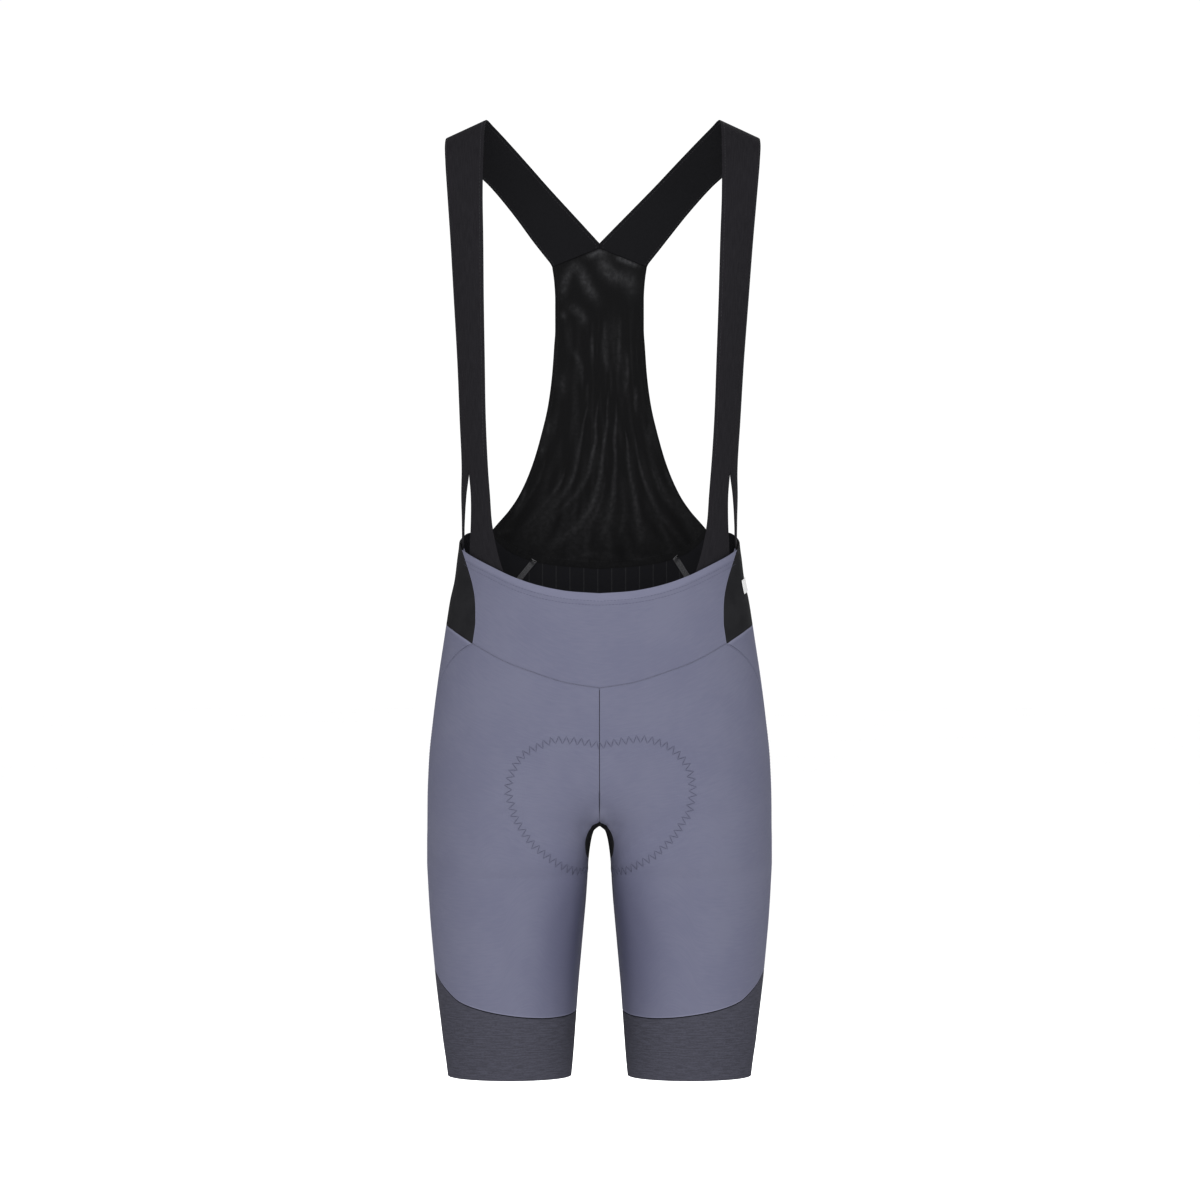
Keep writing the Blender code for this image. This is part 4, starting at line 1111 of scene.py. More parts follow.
THREAD_SHADE = 0.75       # of a thread's colour, between its plies
BLUE_LOW, BLUE_HIGH = linear(92.5, 93.5, 109.5), linear(96.5, 97.5, 112.5)
# the second pair: the colour of painted highlights and the colour of painted shade on the blue cloth
BLUE_HIGHLIGHT, BLUE_PAINTED_SHADE = linear(106, 107, 123), linear(79, 80, 98)
BLUE_THREAD, BLUE_SEAM_THREAD = linear(78, 79, 95), linear(99, 100, 115)
HEATHER_LOW, HEATHER_HIGH = linear(59, 59, 66), linear(69, 69, 78)
BLACK_LOW, BLACK_HIGH, BLACK_INSIDE = linear(33, 33, 35), linear(37, 37, 39), linear(31, 31, 34)
DARK_THREAD, GREY_THREAD = linear(40, 40, 42), linear(66, 66, 69)
PALE_THREAD, WHITE_THREAD = linear(135, 135, 137), linear(205, 205, 207)
STRIPED_LOW, STRIPED_HIGH = linear(31, 31, 34), linear(47, 47, 49)
NET_LOW, NET_PALE_AND_SHEEN, NET_HOLE = linear(23, 23, 24), linear(68, 68, 70), linear(12, 12, 12)
STRAP_LOW, STRAP_HIGH, STRAP_INSIDE = linear(31, 30, 33), linear(36, 35, 38), linear(25, 25, 27)
TAPE_LOW, TAPE_HIGH = linear(60, 60, 62), linear(90, 90, 92)
LABEL_LOW, LABEL_HIGH = linear(186, 186, 186), linear(204, 204, 204)


# ---------------------------------------------------------------- the pieces
# What each piece was cut to before it was stretched over the body (m and m2), and what it hangs
# from. A piece that comes in pairs has one row, and a # stands for its own side.
CUTS = table(
    "piece width length area hung_from",
    ("front_waist_panel", 0.290, 0.120, 0.0225, "strap_left strap_right"),
    ("leg_front", 0.250, 0.360, 0.0745, "front_waist_panel"),
    ("leg_back", 0.270, 0.380, 0.0825, "side_panel_# lower_back_panel"),
    ("gripper", 0.400, 0.105, 0.0290, "leg_front_# leg_back_#"),
    ("side_panel", 0.175, 0.100, 0.0127, "strap_#"),
    ("lower_back_panel", 0.215, 0.080, 0.0135, "mesh_back_panel"),
    ("mesh_back_panel", 0.240, 0.290, 0.0370, "strap_left strap_right"),
    ("crotch_gusset", 0.110, 0.105, 0.0085, "leg_front_left leg_front_right"),
    ("strap", 0.060, 0.610, 0.0288, ""),
    ("seam_tape", 0.010, 0.080, 0.00060, "side_panel_#"),
    ("hip_label", 0.0215, 0.0142, 0.00030, "side_panel_left"),
)


def declare(piece, node):
    """Puts a shell in its node's place: parents it to the root and hides the node's solid."""
    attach(piece, "root")
    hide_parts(node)


def declare_extra(piece):
    """Puts a seam band or a row of stitches on the body, beside the shells."""
    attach(piece, "root")


HEM_CELLS = 5             # rows of the waist panel in its folded hem
# painted highlight along the folded hem of the waist
HEM_HIGHLIGHT = 0.45
CENTRE_REACH = 0.5        # a point this close to the centre lies on a centre seam


def make_front_waist(look):
    """The waist panel, with a painted highlight along its folded hem and its side seams."""
    centre = places(0.0, np.linspace(waist_edge[0][1], v_seam[0][1], WAIST_ROWS + 1))
    half = [v[:, ::-1] for v in lift(patch(waist_edge, v_seam, centre, waist_side))]
    points, normals = both_halves(half, half)
    # painted highlights: a band along the folded hem, full strength on both side seams
    rim = np.zeros(points.shape[:2])
    rim[:HEM_CELLS] = HEM_HIGHLIGHT
    rim[:, 0] = rim[:, -1] = 1.0
    gap = np.full(rim.shape, SEAM_HALF_GAP)
    gap[-1] = CLOSED_SEAM_GAP
    piece = grid_shell("front_waist_cloth", points, normals, look, WALL, centred=True,
                       gap=gap.ravel(), pale=rim)
    declare(piece, "front_waist_panel")


def make_leg_panels(look):
    """Front and back panel of each leg, with their creases, painted highlights along seams and over the
    crotch, and painted shade on the inner sides.
    """
    inner = joined(centre_front, gusset_front, inseam_front)
    front = lift(patch(v_seam, gripper_front, inner, leg_side))
    inner = joined(centre_back, gusset_back, inseam_back)
    back = lift(patch(joined(hip_lower, back_lower), gripper_back, leg_side, inner))
    for name, (points, normals), folds, onto in (("leg_front", front, FRONT_FOLDS, on_front),
                                                 ("leg_back", back, BACK_FOLDS, on_back)):
        gap = np.where(np.abs(points[..., 0]) < CENTRE_REACH, OPEN_SEAM_GAP, SEAM_HALF_GAP)
        # painted highlights along the seam above the gripper, and on the back panel along its top seam
        rim = np.zeros(points.shape[:2])
        gap[-1], rim[-1] = GRIPPER_SEAM_GAP, 1.0
        flat, deep = points.reshape(-1, 3), np.zeros(rim.size)
        if name == "leg_back":
            rim[0] = 1.0
        else:
            gap[0] = CLOSED_SEAM_GAP
            # painted highlight over the front of the crotch, above the gusset
            crotch_highlight = nearness(flat, surface_line(CROTCH_HIGHLIGHT_LINE, onto), CROTCH_HIGHLIGHT_WIDTH, fading=False)
            rim = np.maximum(rim, crotch_highlight.reshape(rim.shape))
        # painted shade near the inner side of each leg
        for place in PAINTED_SHADE_PLACES:
            deep += place.strength * nearness(flat, surface_line(place.line, onto), place.width)
        deep = np.clip(deep, 0, 1)
        for side in ("left", "right"):
            raised = points + normals * leg_relief(points, folds, onto, side)[..., None]
            piece = grid_shell(f"{name}_{side}_cloth", *turned(side, (raised, normals)), look, WALL,
                               gap=gap.ravel(), pale=rim, deep=deep)
            declare(piece, f"{name}_{side}")


def make_grippers(look):
    """The leg bands, whose flecks lie level and whose columns hang straight."""
    top = joined(gripper_front, gripper_back)
    share = np.linspace(0, 1, GRIPPER_ROWS + 1)[:, None]
    drops = top[None, :, 1] + (HEM_DROP - top[None, :, 1]) * share
    points, normals = lift(places(np.broadcast_to(top[None, :, 0], drops.shape), drops))
    faces = grid_faces(points.shape[0] - 1, points.shape[1] - 1)
    lengths = cloth_lengths(points)
    lengths[..., 0] = lengths[-1:, :, 0]
    lengths[..., 1] = drops
    gap = np.full(points.shape[:2], SEAM_HALF_GAP)
    gap[0] = GRIPPER_SEAM_GAP
    for side, half in both_sides((points, normals)):
        piece = shell(f"gripper_{side}_cloth", *half, faces, lengths, look, WALL, gap=gap.ravel())
        declare(piece, f"gripper_{side}")


def make_side_panels(look):
    """From the front seam round the hip to the tape seam."""
    for side, twist in TWISTS.items():
        tape, mesh_end, _ = seat_seams(twist)
        grids = lift(patch(joined(hip_top, mesh_end), hip_lower, waist_side, tape))
        declare(grid_shell(f"side_{side}_cloth", *turned(side, grids), look, WALL), f"side_panel_{side}")


def make_lower_back(look):
    """The striped panel between the tapes."""
    halves = []
    for twist in TWISTS.values():
        tape, _, mesh_middle = seat_seams(twist)
        centre = places(1.0, np.linspace(mesh_middle[-1][1], back_lower[-1][1], WAIST_ROWS + 1))
        halves.append(lift(patch(mesh_middle, back_lower, tape, centre)))
    points, normals = both_halves(*halves)
    declare(grid_shell("lower_back_cloth", points, normals, look, WALL, centred=True), "lower_back_panel")


FOLD_HIGHLIGHT = 0.24      # painted highlight: how much paler each millimetre of its height makes the crest of a fold of the mesh
FOLD_LEAN = 0.6
# painted highlight on the crests of the uneven streaks
STREAK_HIGHLIGHT = 0.075
STREAK_HEIGHT = 0.14
LONG_STREAKS, SHORT_STREAKS = (20, 9), (11, 5)         # cells down and across to each change
LONG_SHARE = 0.6
LOW_PALENESS = 0.09
# Where each of these sets in: from the first drop, and in full from the second.
STREAKS_START, LOW_START, RELIEF_START = (165.0, 200.0), (330.0, 415.0), (115.0, 135.0)
# The same by height above the lower seam.
RELIEF_ABOVE_SEAM, PALE_ABOVE_SEAM = (1.0, 14.0), (-1.0, 3.0)


def streaks(shape, steps, seed):
    """Uneven streaks along the columns of a grid, from about -1 to 1."""
    draw = np.random.default_rng(seed)
    coarse = draw.uniform(-1, 1, [count // step + 2 for count, step in zip(shape, steps)])
    marks = [np.linspace(0, 1, count) for count in coarse.shape + tuple(shape)]
    wide = np.stack([smooth(marks[1], row, limited=False)(marks[3]) for row in coarse])
    return np.stack([smooth(marks[0], line, limited=False)(marks[2]) for line in wide.T], 1)


def make_mesh_back(look):
    """The mesh back, with its soft folds and uneven streaks, painted highlights on their crests, and paler
    clouds of moiré and painted sheen.
    """
    halves = []
    for twist in TWISTS.values():
        _, mesh_end, mesh_middle = seat_seams(twist)
        top = along(STRAP_SEAM, "across", "drop", (STRAP_SEAM[-1].across, 0),
                    BACK_COLUMNS + MESH_END_COLUMNS, on_back)
        edge_drops = np.linspace(STRAP_SEAM[-1].drop, mesh_corner[1], MESH_ROWS + 1)
        side = on_back(column(MESH_SIDE_EDGE, "drop", "across")(edge_drops), edge_drops)
        side[0], side[-1] = top[0], mesh_corner
        centre = places(1.0, np.linspace(top[-1][1], mesh_middle[-1][1], MESH_ROWS + 1))
        halves.append(lift(patch(top, joined(mesh_end, mesh_middle), side, centre)))
    points, normals = both_halves(*halves)
    flat = points.reshape(-1, 3)
    drops = -flat[:, 2]
    uneven = streaks(points.shape[:2], SHORT_STREAKS, seed=4).ravel()
    uneven += LONG_SHARE * streaks(points.shape[:2], LONG_STREAKS, seed=9).ravel()
    uneven *= soft_step(drops, *STREAKS_START)
    low = soft_step(drops, *LOW_START)
    height, pale = -STREAK_HEIGHT * uneven, STREAK_HIGHLIGHT * uneven + LOW_PALENESS * low
    # each fold: its relief, and a painted highlight on its crest
    for fold in MESH_FOLDS:
        near = nearness(flat, surface_line(fold.line, on_back), fold.width, spread=fold.spread,
                        lean=FOLD_LEAN)
        height -= fold.height * near
        pale += FOLD_HIGHLIGHT * fold.height * near ** 2
    # clouds of moiré with painted sheen
    for cloud in MOIRE_AND_SHEEN_CLOUDS:
        pale += cloud.strength * nearness(flat, surface_line(cloud.line, on_back), cloud.width)
    above_seam = mesh_lower_drop(np.abs(flat[:, 0])) - drops
    height *= soft_step(above_seam, *RELIEF_ABOVE_SEAM) * soft_step(drops, *RELIEF_START)
    pale *= soft_step(above_seam, *PALE_ABOVE_SEAM)
    raised = points + normals * height.reshape(points.shape[:-1] + (1,))
    piece = grid_shell("mesh_back_cloth", raised, normals, look, NET_WALL, centred=True,
                       pale=np.clip(pale, 0, 1))
    declare(piece, "mesh_back_panel")


GUSSET_RINGS = np.linspace(0.08, 1.0, 14)              # from the crotch point out to the outline


def make_gusset(look):
    """A fan of quads round the crotch point, over both inner thighs."""
    outline = np.concatenate([gusset_front, gusset_back[-2::-1]])
    rear = np.concatenate([np.zeros(len(gusset_front)), np.ones(len(gusset_back) - 1)])[:, None]
    around = rear + (outline[:, :1] - rear) * GUSSET_RINGS
    drop = CROTCH_DROP + (outline[:, 1:] - CROTCH_DROP) * GUSSET_RINGS
    half = lift(places(around, drop))
    spokes, ups = [np.concatenate([v, mirrored(v)[-2:0:-1]]) for v in half]
    count, depth = spokes.shape[:2]
    points = np.concatenate([form(0.0, CROTCH_DROP)[None], spokes.reshape(-1, 3)])
    normals = np.concatenate([[(0.0, 0.0, -1.0)], ups.reshape(-1, 3)])
    start = 1 + np.arange(count) * depth
    after = np.roll(start, -1)
    middle = np.zeros(count, int)
    faces = [np.stack([middle, middle, start, after], -1)]
    for r in range(depth - 1):
        faces.append(np.stack([start + r, start + r + 1, after + r + 1, after + r], -1))
    lengths = points[:, :2]
    piece = shell("gusset_cloth", points, normals, np.concatenate(faces), lengths, look, WALL)
    declare(piece, "crotch_gusset")


def strap_row_on_form(spots):
    """Points on the form, moved in behind the panels where the strap is tucked in."""
    inset = (PANEL_WALL + LAP_GAP) * soft_step(spots[:, 1], TUCK_START_DROP, TUCK_END_DROP)
    points, normals = lift(spots)
    return points - normals * inset[:, None]


def between(first, last, shares):
    return first + (last - first) * shares[:, None]


SEAM_ROWS = 4             # from the strap's last curved station to its seam with the mesh


def strap_stations():
    """Rows of points up the strap; each row has its slit line twice."""
    legs = np.linspace(0, 1, STRAP_CELLS + 1)
    whole = np.concatenate([legs * SLIT_SHARE, SLIT_SHARE + legs * (1 - SLIT_SHARE)])
    rows = []
    for leg in STRAP_LEGS:
        front = between(on_front(leg.front_inner, leg.front_inner_drop),
                        on_front(leg.front_outer, leg.front_outer_drop), legs)
        side = between(on_side(leg.side_front, leg.side_front_drop),
                       on_side(leg.side_back, leg.side_back_drop), legs)
        rows.append(strap_row_on_form(np.concatenate([front, side])))
    for chest in STRAP_CHEST:
        rows.append(strap_row_on_form(
            between(on_front(chest.inner, chest.drop), on_front(chest.outer, chest.drop), whole)))
    for edge in STRAP_SHOULDER:
        neck = np.array((edge.neck_x, edge.neck_y, -edge.neck_drop))
        arm = np.array((edge.arm_x, edge.arm_y, -edge.arm_drop))
        rows.append(between(neck, arm, whole))
    for edge in STRAP_BACK:
        neck = form(*on_back(edge.neck_across, edge.neck_drop))
        arm = form(*on_back(edge.arm_across, edge.arm_drop))
        rows.append(between(neck, arm, whole))
    return np.stack(rows)


def strap_grid():
    """The strap's points from the waist to the V, and the row where the slit ends."""
    stations = strap_stations()
    slit_end = len(STRAP_LEGS)
    curved, seam_row = stations[:-1], stations[-1]
    shares, split_at = [], 0
    for i in range(len(curved) - 1):
        if i == slit_end:
            split_at = len(shares)
        steps = CHEST_STEPS if slit_end <= i < slit_end + len(STRAP_CHEST) - 1 else STRAP_STEPS
        shares += [i + j / steps for j in range(steps)]
    shares = np.array(shares + [len(curved) - 1.0])
    lines = []
    for c in range(curved.shape[1]):
        line = curved[:, c]
        lengths = line_marks(line)
        marks = np.interp(shares, np.arange(len(line)), lengths)
        lines.append(np.stack([smooth(lengths, line[:, k], limited=False)(marks) for k in range(3)], -1))
    grid = np.stack(lines, 1)
    last = grid[-1] + (seam_row - grid[-1]) * (np.arange(1, SEAM_ROWS + 1)[:, None, None] / SEAM_ROWS)
    return np.concatenate([grid, last]), split_at


def swayed(points, side):
    """Strap points on one side, moved sideways with the shoulders; the waist and V stay."""
    start = np.where(points[:, 1] < 0, SWAY_DROP_FRONT, SWAY_DROP_BACK)
    rise = np.clip(1 + points[:, 2] / start, 0.0, 1.0)
    moved = points * (side, 1.0, 1.0)
    moved[:, 0] += STRAP_SWAY * rise
    return moved


def point_normals(points, faces):
    """Unit normals at the points of a set of quads."""
    normals = np.zeros_like(points)
    across = np.cross(points[faces[:, 2]] - points[faces[:, 0]], points[faces[:, 3]] - points[faces[:, 1]])
    for k in range(4):
        np.add.at(normals, faces[:, k], across)
    return unit(normals)


def make_straps(look, sewing):
    """Both straps. Above the slit's end its two lines of points are one."""
    grid, split_at = strap_grid()
    rows, width = grid.shape[:2]
    slit = width // 2 - 1
    number = np.arange(rows * width).reshape(rows, width)
    number[split_at:, slit + 1] = number[split_at:, slit]
    kept, numbered = np.unique(number, return_inverse=True)
    numbered = numbered.reshape(number.shape)
    corner, right = numbered[:, :-1], numbered[:, 1:]
    faces = np.stack([corner[:-1], corner[1:], right[1:], right[:-1]], -1)
    faces = np.delete(faces, slit, axis=1).reshape(-1, 4)
    points = grid.reshape(-1, 3)[kept]
    lengths = cloth_lengths(grid).reshape(-1, 2)[kept]
    normals = point_normals(points, faces)
    if normals[numbered[split_at, 0], 1] > 0:      # on the chest the outer face looks to the front
        normals = -normals
    for name, side in (("left", 1), ("right", -1)):
        piece = shell(f"strap_{name}_cloth", swayed(points, side), normals * (side, 1.0, 1.0), faces,
                      lengths, look, STRAP_WALL)
        declare(piece, f"strap_{name}")
    make_strap_stitching(grid, normals[numbered], split_at, sewing)


TAPE_NUDGE = 0.01         # step round the form, to find how many millimetres it is there


def make_tapes(look):
    """Strips inside the garment, over the seams of the side panels and the lower back."""
    for side, twist in TWISTS.items():
        seam = seat_seams(twist)[0][TAPE_START:]
        step = form(seam[:, 0] + TAPE_NUDGE, seam[:, 1]) - form(seam[:, 0] - TAPE_NUDGE, seam[:, 1])
        reach = TAPE_WIDTH * TAPE_NUDGE / np.linalg.norm(step, axis=1)
        shares = np.linspace(-1, 1, TAPE_COLUMNS + 1)
        grid = places(seam[:, :1] + reach[:, None] * shares, np.repeat(seam[:, 1:], TAPE_COLUMNS + 1, 1))
        grids = turned(side, lift(grid, -(PANEL_WALL + LAY_GAP)))
        declare(grid_shell(f"tape_{side}_cloth", *grids, look, TAPE_WALL), f"seam_tape_{side}")


def make_label(look, sewing):
    """The blank label on the left hip."""
    corners = [on_side(c.depth, c.drop) for c in LABEL_CORNERS]
    shares = np.linspace(0, 1, LABEL_CELLS + 1)
    top, low = between(corners[0], corners[1], shares), between(corners[3], corners[2], shares)
    grid = top[None] + (low - top)[None] * shares[:, None, None]
    points, normals = lift(grid, LAY_GAP + LABEL_WALL)
    declare(grid_shell("hip_label_cloth", points, normals, look, LABEL_WALL), "hip_label")
    make_label_stitching(points, normals, sewing)


# ---------------------------------------------------------------- sewing
BAND_WIDTH = 5.0
BAND_CELLS = 4
BAND_WALL = 0.5
BAND_CLEARANCE = 0.12
BEHIND = -(WALL + BAND_CLEARANCE)
BEHIND_NET = -(NET_WALL + BAND_CLEARANCE)
OVER = BAND_WALL + BAND_CLEARANCE
GUSSET_BAND = 2.4
MESH_HEM = 6.0
MESH_HEM_PALENESS = 0.08
STRAP_HEM = 9.0
CENTRE_BAND_ROWS = 49


def across_centre(spots, centre):
    """A line of places that ends on the centre, carried on over the other half."""
    return joined(spots, places(2 * centre - spots[::-1, 0], spots[::-1, 1]))


def seam_band(name, line, look, width=BAND_WIDTH, height=BEHIND, pale=0.0):
    """A thin strip of cloth along a seam, behind it or over it, as wide as its seam allowance."""
    points, normals = line
    side = unit(np.cross(unit(np.gradient(points, axis=0)), normals))
    shares = np.linspace(-0.5, 0.5, BAND_CELLS + 1)
    grid = points[:, None] + side[:, None] * (width * shares)[:, None] + normals[:, None] * height
    ups = np.repeat(normals[:, None], BAND_CELLS + 1, axis=1)
    piece = grid_shell(name, grid, ups, look, BAND_WALL, pale=np.full(grid.shape[:2], pale))
    declare_extra(piece)


def make_seam_bands(blue, black, net):
    """The seam allowances: behind the panels' seams that no tape covers, and over the straps' seam."""
    seam_band("v_seam_band", lift(across_centre(v_seam[::-1], 0.0)), blue)
    seat = across_centre(joined(hip_lower, back_lower), 1.0)
    seam_band("back_seam_band", lift(seat), black)
    # black bands behind the blue centre seams: seam allowances whose colour is painted shade, shown as a
    # dark line in the widened gaps
    for name, around, first, last in (("centre_front_band", 0.0, v_seam[0], gusset_front[0]),
                                      ("centre_back_band", 1.0, back_lower[-1], gusset_back[0])):
        spots = places(around, np.linspace(first[1], last[1], CENTRE_BAND_ROWS + 1))
        seam_band(name, lift(spots), black)
    for name, spots in (("gusset_front_band", gusset_front), ("gusset_back_band", gusset_back)):
        half = lift(spots[::-1])
        seam_band(name, both_halves(half, half, axis=0), black, GUSSET_BAND)
    for name, spots, look, slot in (
            ("waist_side_band", waist_side, blue, "blue_grey_knit"),
            ("leg_side_band", leg_side, blue, "blue_grey_knit"),
            ("inseam_band", inseam_front, blue, "blue_grey_knit"),
            ("gripper_band", joined(gripper_front, gripper_back), black, "black_knit")):
        for side, line in both_sides(lift(spots)):
            seam_band(f"{name}_{side}", line, look)
    halves = [lift(joined(*seat_seams(twist)[1:])) for twist in TWISTS.values()]
    lower = both_halves(*halves, axis=0)
    seam_band("mesh_seam_band", lower, net, MESH_HEM, BEHIND_NET, MESH_HEM_PALENESS)
    top = along(STRAP_SEAM, "across", "drop", (STRAP_SEAM[-1].across, 0), BACK_COLUMNS, on_back)
    seam_band("strap_seam_band", lift(across_centre(top, 1.0)), black, STRAP_HEM, OVER)


def sewn(name, lines, look, radius, stitch=2.4, gap=0.9):
    """Rows of straight stitches along lines of points and normals."""
    paths, ups = stitches(lines, stitch, gap, radius)
    declare_extra(tubes(name, paths, ups, radius, look, sides=5))


def other_face(line, wall):
    """The same line on the inner face of a wall."""
    points, normals = line
    return points - normals * wall, -normals


def make_pad_stitching(look):
    """The zigzag that holds the seat pad, at the bottom of its trough."""
    for side in ("left", "right"):
        points, normals = pad_line(side)
        points, normals = turned(side, (points - normals * PAD_TROUGH, normals))
        path, ups = zigzag(points, normals, ZIGZAG_PITCH, ZIGZAG_BAND, 2 * THREAD_RADIUS)
        piece = tubes(f"pad_stitching_{side}", path[None], ups[None], THREAD_RADIUS, look)
        declare_extra(piece)


HEM_ROWS = (8.0, 12.0)    # below the waist's edge
HEM_ROW_ENDS = 6          # cells at each end of the waist's edge that its stitches leave


def make_waist_stitching(look):
    """Two rows along the folded hem."""
    spots = across_centre(waist_edge[::-1], 0.0)[HEM_ROW_ENDS:-HEM_ROW_ENDS]
    lines = [lift(spots + (0.0, below)) for below in HEM_ROWS]
    sewn("waist_stitching", lines, look, radius=0.16)


LEG_ROW_OFFSET = 1.6


def make_leg_stitching(look, seam_look):
    """A row of stitches in front of each side seam, and a dense one along the seam under the waist."""
    points, normals = lift(leg_side)
    beside = np.cross(unit(np.gradient(points, axis=0)), normals) * LEG_ROW_OFFSET
    lines = [line for _, line in both_sides((points + beside, normals))]
    sewn("leg_stitching", lines, look, radius=0.13)
    v_line = lift(across_centre(v_seam[::-1], 0.0))
    sewn("v_seam_stitching", [v_line], seam_look, stitch=2.6, gap=0.15, radius=0.34)


MESH_HEM_WIDTH = 3.5
MESH_HEM_HEIGHT = 4.5
MESH_ROW_MARKS = 160
MESH_ROW_TOP, MESH_ROW_END = 2, 4      # how far the side rows stop short at the top and the corner
MESH_LOWER_ROW_START = 8               # cells that the lower row leaves at the corner


def make_mesh_stitching(look):
    """Stitches along the folded side edges of the mesh and above its lower seam, on both faces."""
    first, last = MESH_SIDE_EDGE[0].drop + MESH_ROW_TOP, MESH_SIDE_EDGE[-1].drop - MESH_ROW_END
    drops = np.linspace(first, last, MESH_ROW_MARKS)
    across = column(MESH_SIDE_EDGE, "drop", "across")(drops) - MESH_HEM_WIDTH
    lines = [line for _, line in both_sides(lift(on_back(across, drops)))]
    for side, twist in TWISTS.items():
        seam = joined(*seat_seams(twist)[1:])[MESH_LOWER_ROW_START:] - (0.0, MESH_HEM_HEIGHT)
        lines.append(turned(side, lift(seam)))
    lines += [other_face(line, NET_WALL) for line in lines]
    sewn("mesh_stitching", lines, look, radius=0.14)


SLIT_END_ROWS = 6         # rows above the slit's end where the strap's stitches begin


def make_strap_stitching(grid, normals, split_at, look):
    """Stitches along both edges of each strap, on both of its faces."""
    lines = []
    begin = split_at + SLIT_END_ROWS
    for side in (1, -1):
        for inner in (1, -2):
            line = [swayed(grid[begin:, inner], side), normals[begin:, inner] * (side, 1.0, 1.0)]
            lines += [line, other_face(line, STRAP_WALL)]
    sewn("strap_stitching", lines, look, stitch=2.6, gap=1.0, radius=0.13)


# Along the seam from its top, with the depth below the outer face: on the panels, then on the tape.
BARTACKS = table("start end pitch band depth", (1.0, 3.2, 1.5, 6.5, 1.85), (3.6, 6.2, 1.1, 7.0, 2.9))
BARTACK_MARKS = 8
BARTACK_HEIGHT = 0.4
BARTACK_RADIUS = 0.22


def make_bartacks(*looks):
    """Dense zigzags that hold the top end of each tape."""
    for side, twist in TWISTS.items():
        for row, (tack, look) in enumerate(zip(BARTACKS, looks)):
            points, normals = turned(side, lift(seat_seams(twist)[0], -tack.depth))
            at = walked(points, -normals, np.linspace(tack.start, tack.end, BARTACK_MARKS))
            path, ups = zigzag(*at, tack.pitch, tack.band, BARTACK_HEIGHT)
            name = f"tape_bartack_{side}_{row}"
            declare_extra(tubes(name, path[None], ups[None], BARTACK_RADIUS, look))


def make_label_stitching(points, normals, look):
    """One row of small stitches inside each edge of the label."""
    lines = []
    for column_at in (1, -2):
        lines.append((points[1:-1, column_at], normals[1:-1, column_at]))
    for row in (1, -2):
        lines.append((points[row, 1:-1], normals[row, 1:-1]))
    sewn("label_stitching", lines, look, stitch=1.3, gap=0.5, radius=0.12)


# ---------------------------------------------------------------- stage, light and camera
FLOOR_DROP = 1.28         # these sizes and places are in metres
FLOOR_HALF = 30.0
FLOOR_LOW, FLOOR_HIGH = (0.97, 0.97, 0.97), (0.99, 0.99, 0.99)
CAMERA_DISTANCE = 4.6
CAMERA_DROP = 0.472
CAMERA_ACROSS = 0.0005
SENSOR_WIDTH, LENS = 36.0, 138.0       # of the camera (mm)
SKY_STRENGTH = 1.03
VIEW_GAMMA = 0.86
LIGHTS = table(
    "name place size power",
    ("front_light", (-0.4, -4.3, 0.8), 2.0, 125),
    ("front_fill", (1.2, -4.1, 0.0), 1.6, 35),
    ("back_light", (0.8, 4.2, 1.2), 2.2, 120),
)


def make_stage():
    """A wide white floor, well below the garment."""
    cloth = Cloth("studio_floor", roughness=0.9, specular=0.1)
    white = cloth.mottled(cloth.clouds(scale=1.5, detail=2), FLOOR_LOW, FLOOR_HIGH, spread=0.2)
    cloth.put(cloth.shader.inputs["Base Color"], white)
    mesh = bpy.data.meshes.new("studio_floor")
    signs = ((-1, -1), (1, -1), (1, 1), (-1, 1))
    corners = [(x * FLOOR_HALF, y * FLOOR_HALF, -FLOOR_DROP) for x, y in signs]
    mesh.from_pydata(corners, [], [(0, 1, 2, 3)])
    mesh.materials.append(cloth.material)
    floor = bpy.data.objects.new("studio_floor", mesh)
    bpy.context.scene.collection.objects.link(floor)


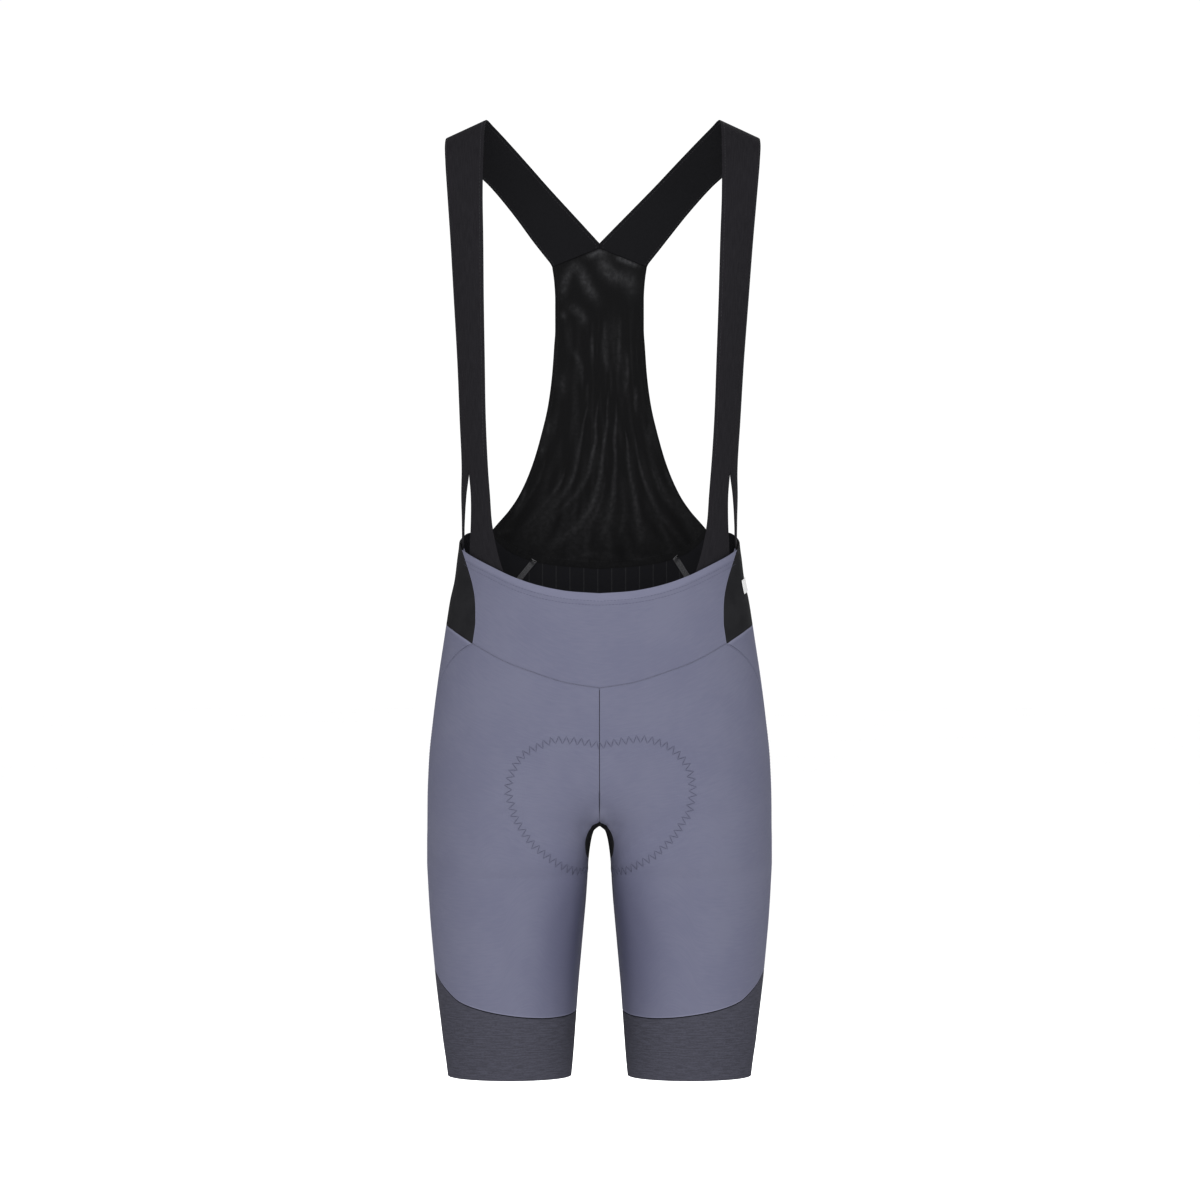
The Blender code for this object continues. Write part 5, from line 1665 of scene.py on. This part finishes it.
def soft_light(name, place, size, power):
    """A square area light that faces the middle of the garment."""
    light = bpy.data.lights.new(name, "AREA")
    light.size, light.energy = size, power
    lamp = bpy.data.objects.new(name, light)
    lamp.location = place
    away = lamp.location.copy()
    away.z += CAMERA_DROP
    lamp.rotation_euler = away.to_track_quat("Z", "Y").to_euler()
    bpy.context.scene.collection.objects.link(lamp)


def make_light():
    """White surroundings and three soft lights."""
    world = bpy.data.worlds.new("studio")
    world.use_nodes = True
    background = world.node_tree.nodes["Background"]
    background.inputs["Color"].default_value = (1.0, 1.0, 1.0, 1.0)
    background.inputs["Strength"].default_value = SKY_STRENGTH
    bpy.context.scene.world = world
    for light in LIGHTS:
        soft_light(*light)
    bpy.context.scene.view_settings.view_transform = "Standard"
    bpy.context.scene.view_settings.gamma = VIEW_GAMMA


def make_camera():
    """A level camera in front of the garment's middle."""
    camera = bpy.data.objects.new("camera", bpy.data.cameras.new("camera"))
    camera.location = (CAMERA_ACROSS, -CAMERA_DISTANCE, -CAMERA_DROP)
    camera.rotation_euler = (math.radians(90), 0, 0)
    camera.data.sensor_width, camera.data.lens = SENSOR_WIDTH, LENS
    bpy.context.scene.collection.objects.link(camera)
    bpy.context.scene.camera = camera


def main():
    make_camera()
    make_light()
    make_stage()
    blue, black = blue_knit(), black_knit()
    make_front_waist(blue)
    make_leg_panels(blue)
    make_grippers(heather_knit())
    make_side_panels(black)
    make_lower_back(striped_knit())
    net = net_knit()
    make_mesh_back(net)
    make_gusset(black)
    make_tapes(tape_knit())
    make_seam_bands(blue, black, net)

    blue_thread, grey_thread = thread("blue_thread", BLUE_THREAD), thread("grey_thread", GREY_THREAD)
    make_straps(strap_elastic(), grey_thread)
    make_label(label_weave(), thread("white_thread", WHITE_THREAD))
    make_pad_stitching(blue_thread)
    make_waist_stitching(blue_thread)
    make_leg_stitching(blue_thread, thread("blue_seam_thread", BLUE_SEAM_THREAD))
    make_mesh_stitching(thread("dark_thread", DARK_THREAD))
    make_bartacks(thread("pale_thread", PALE_THREAD), grey_thread)


main()

bpy.context.view_layer.update()
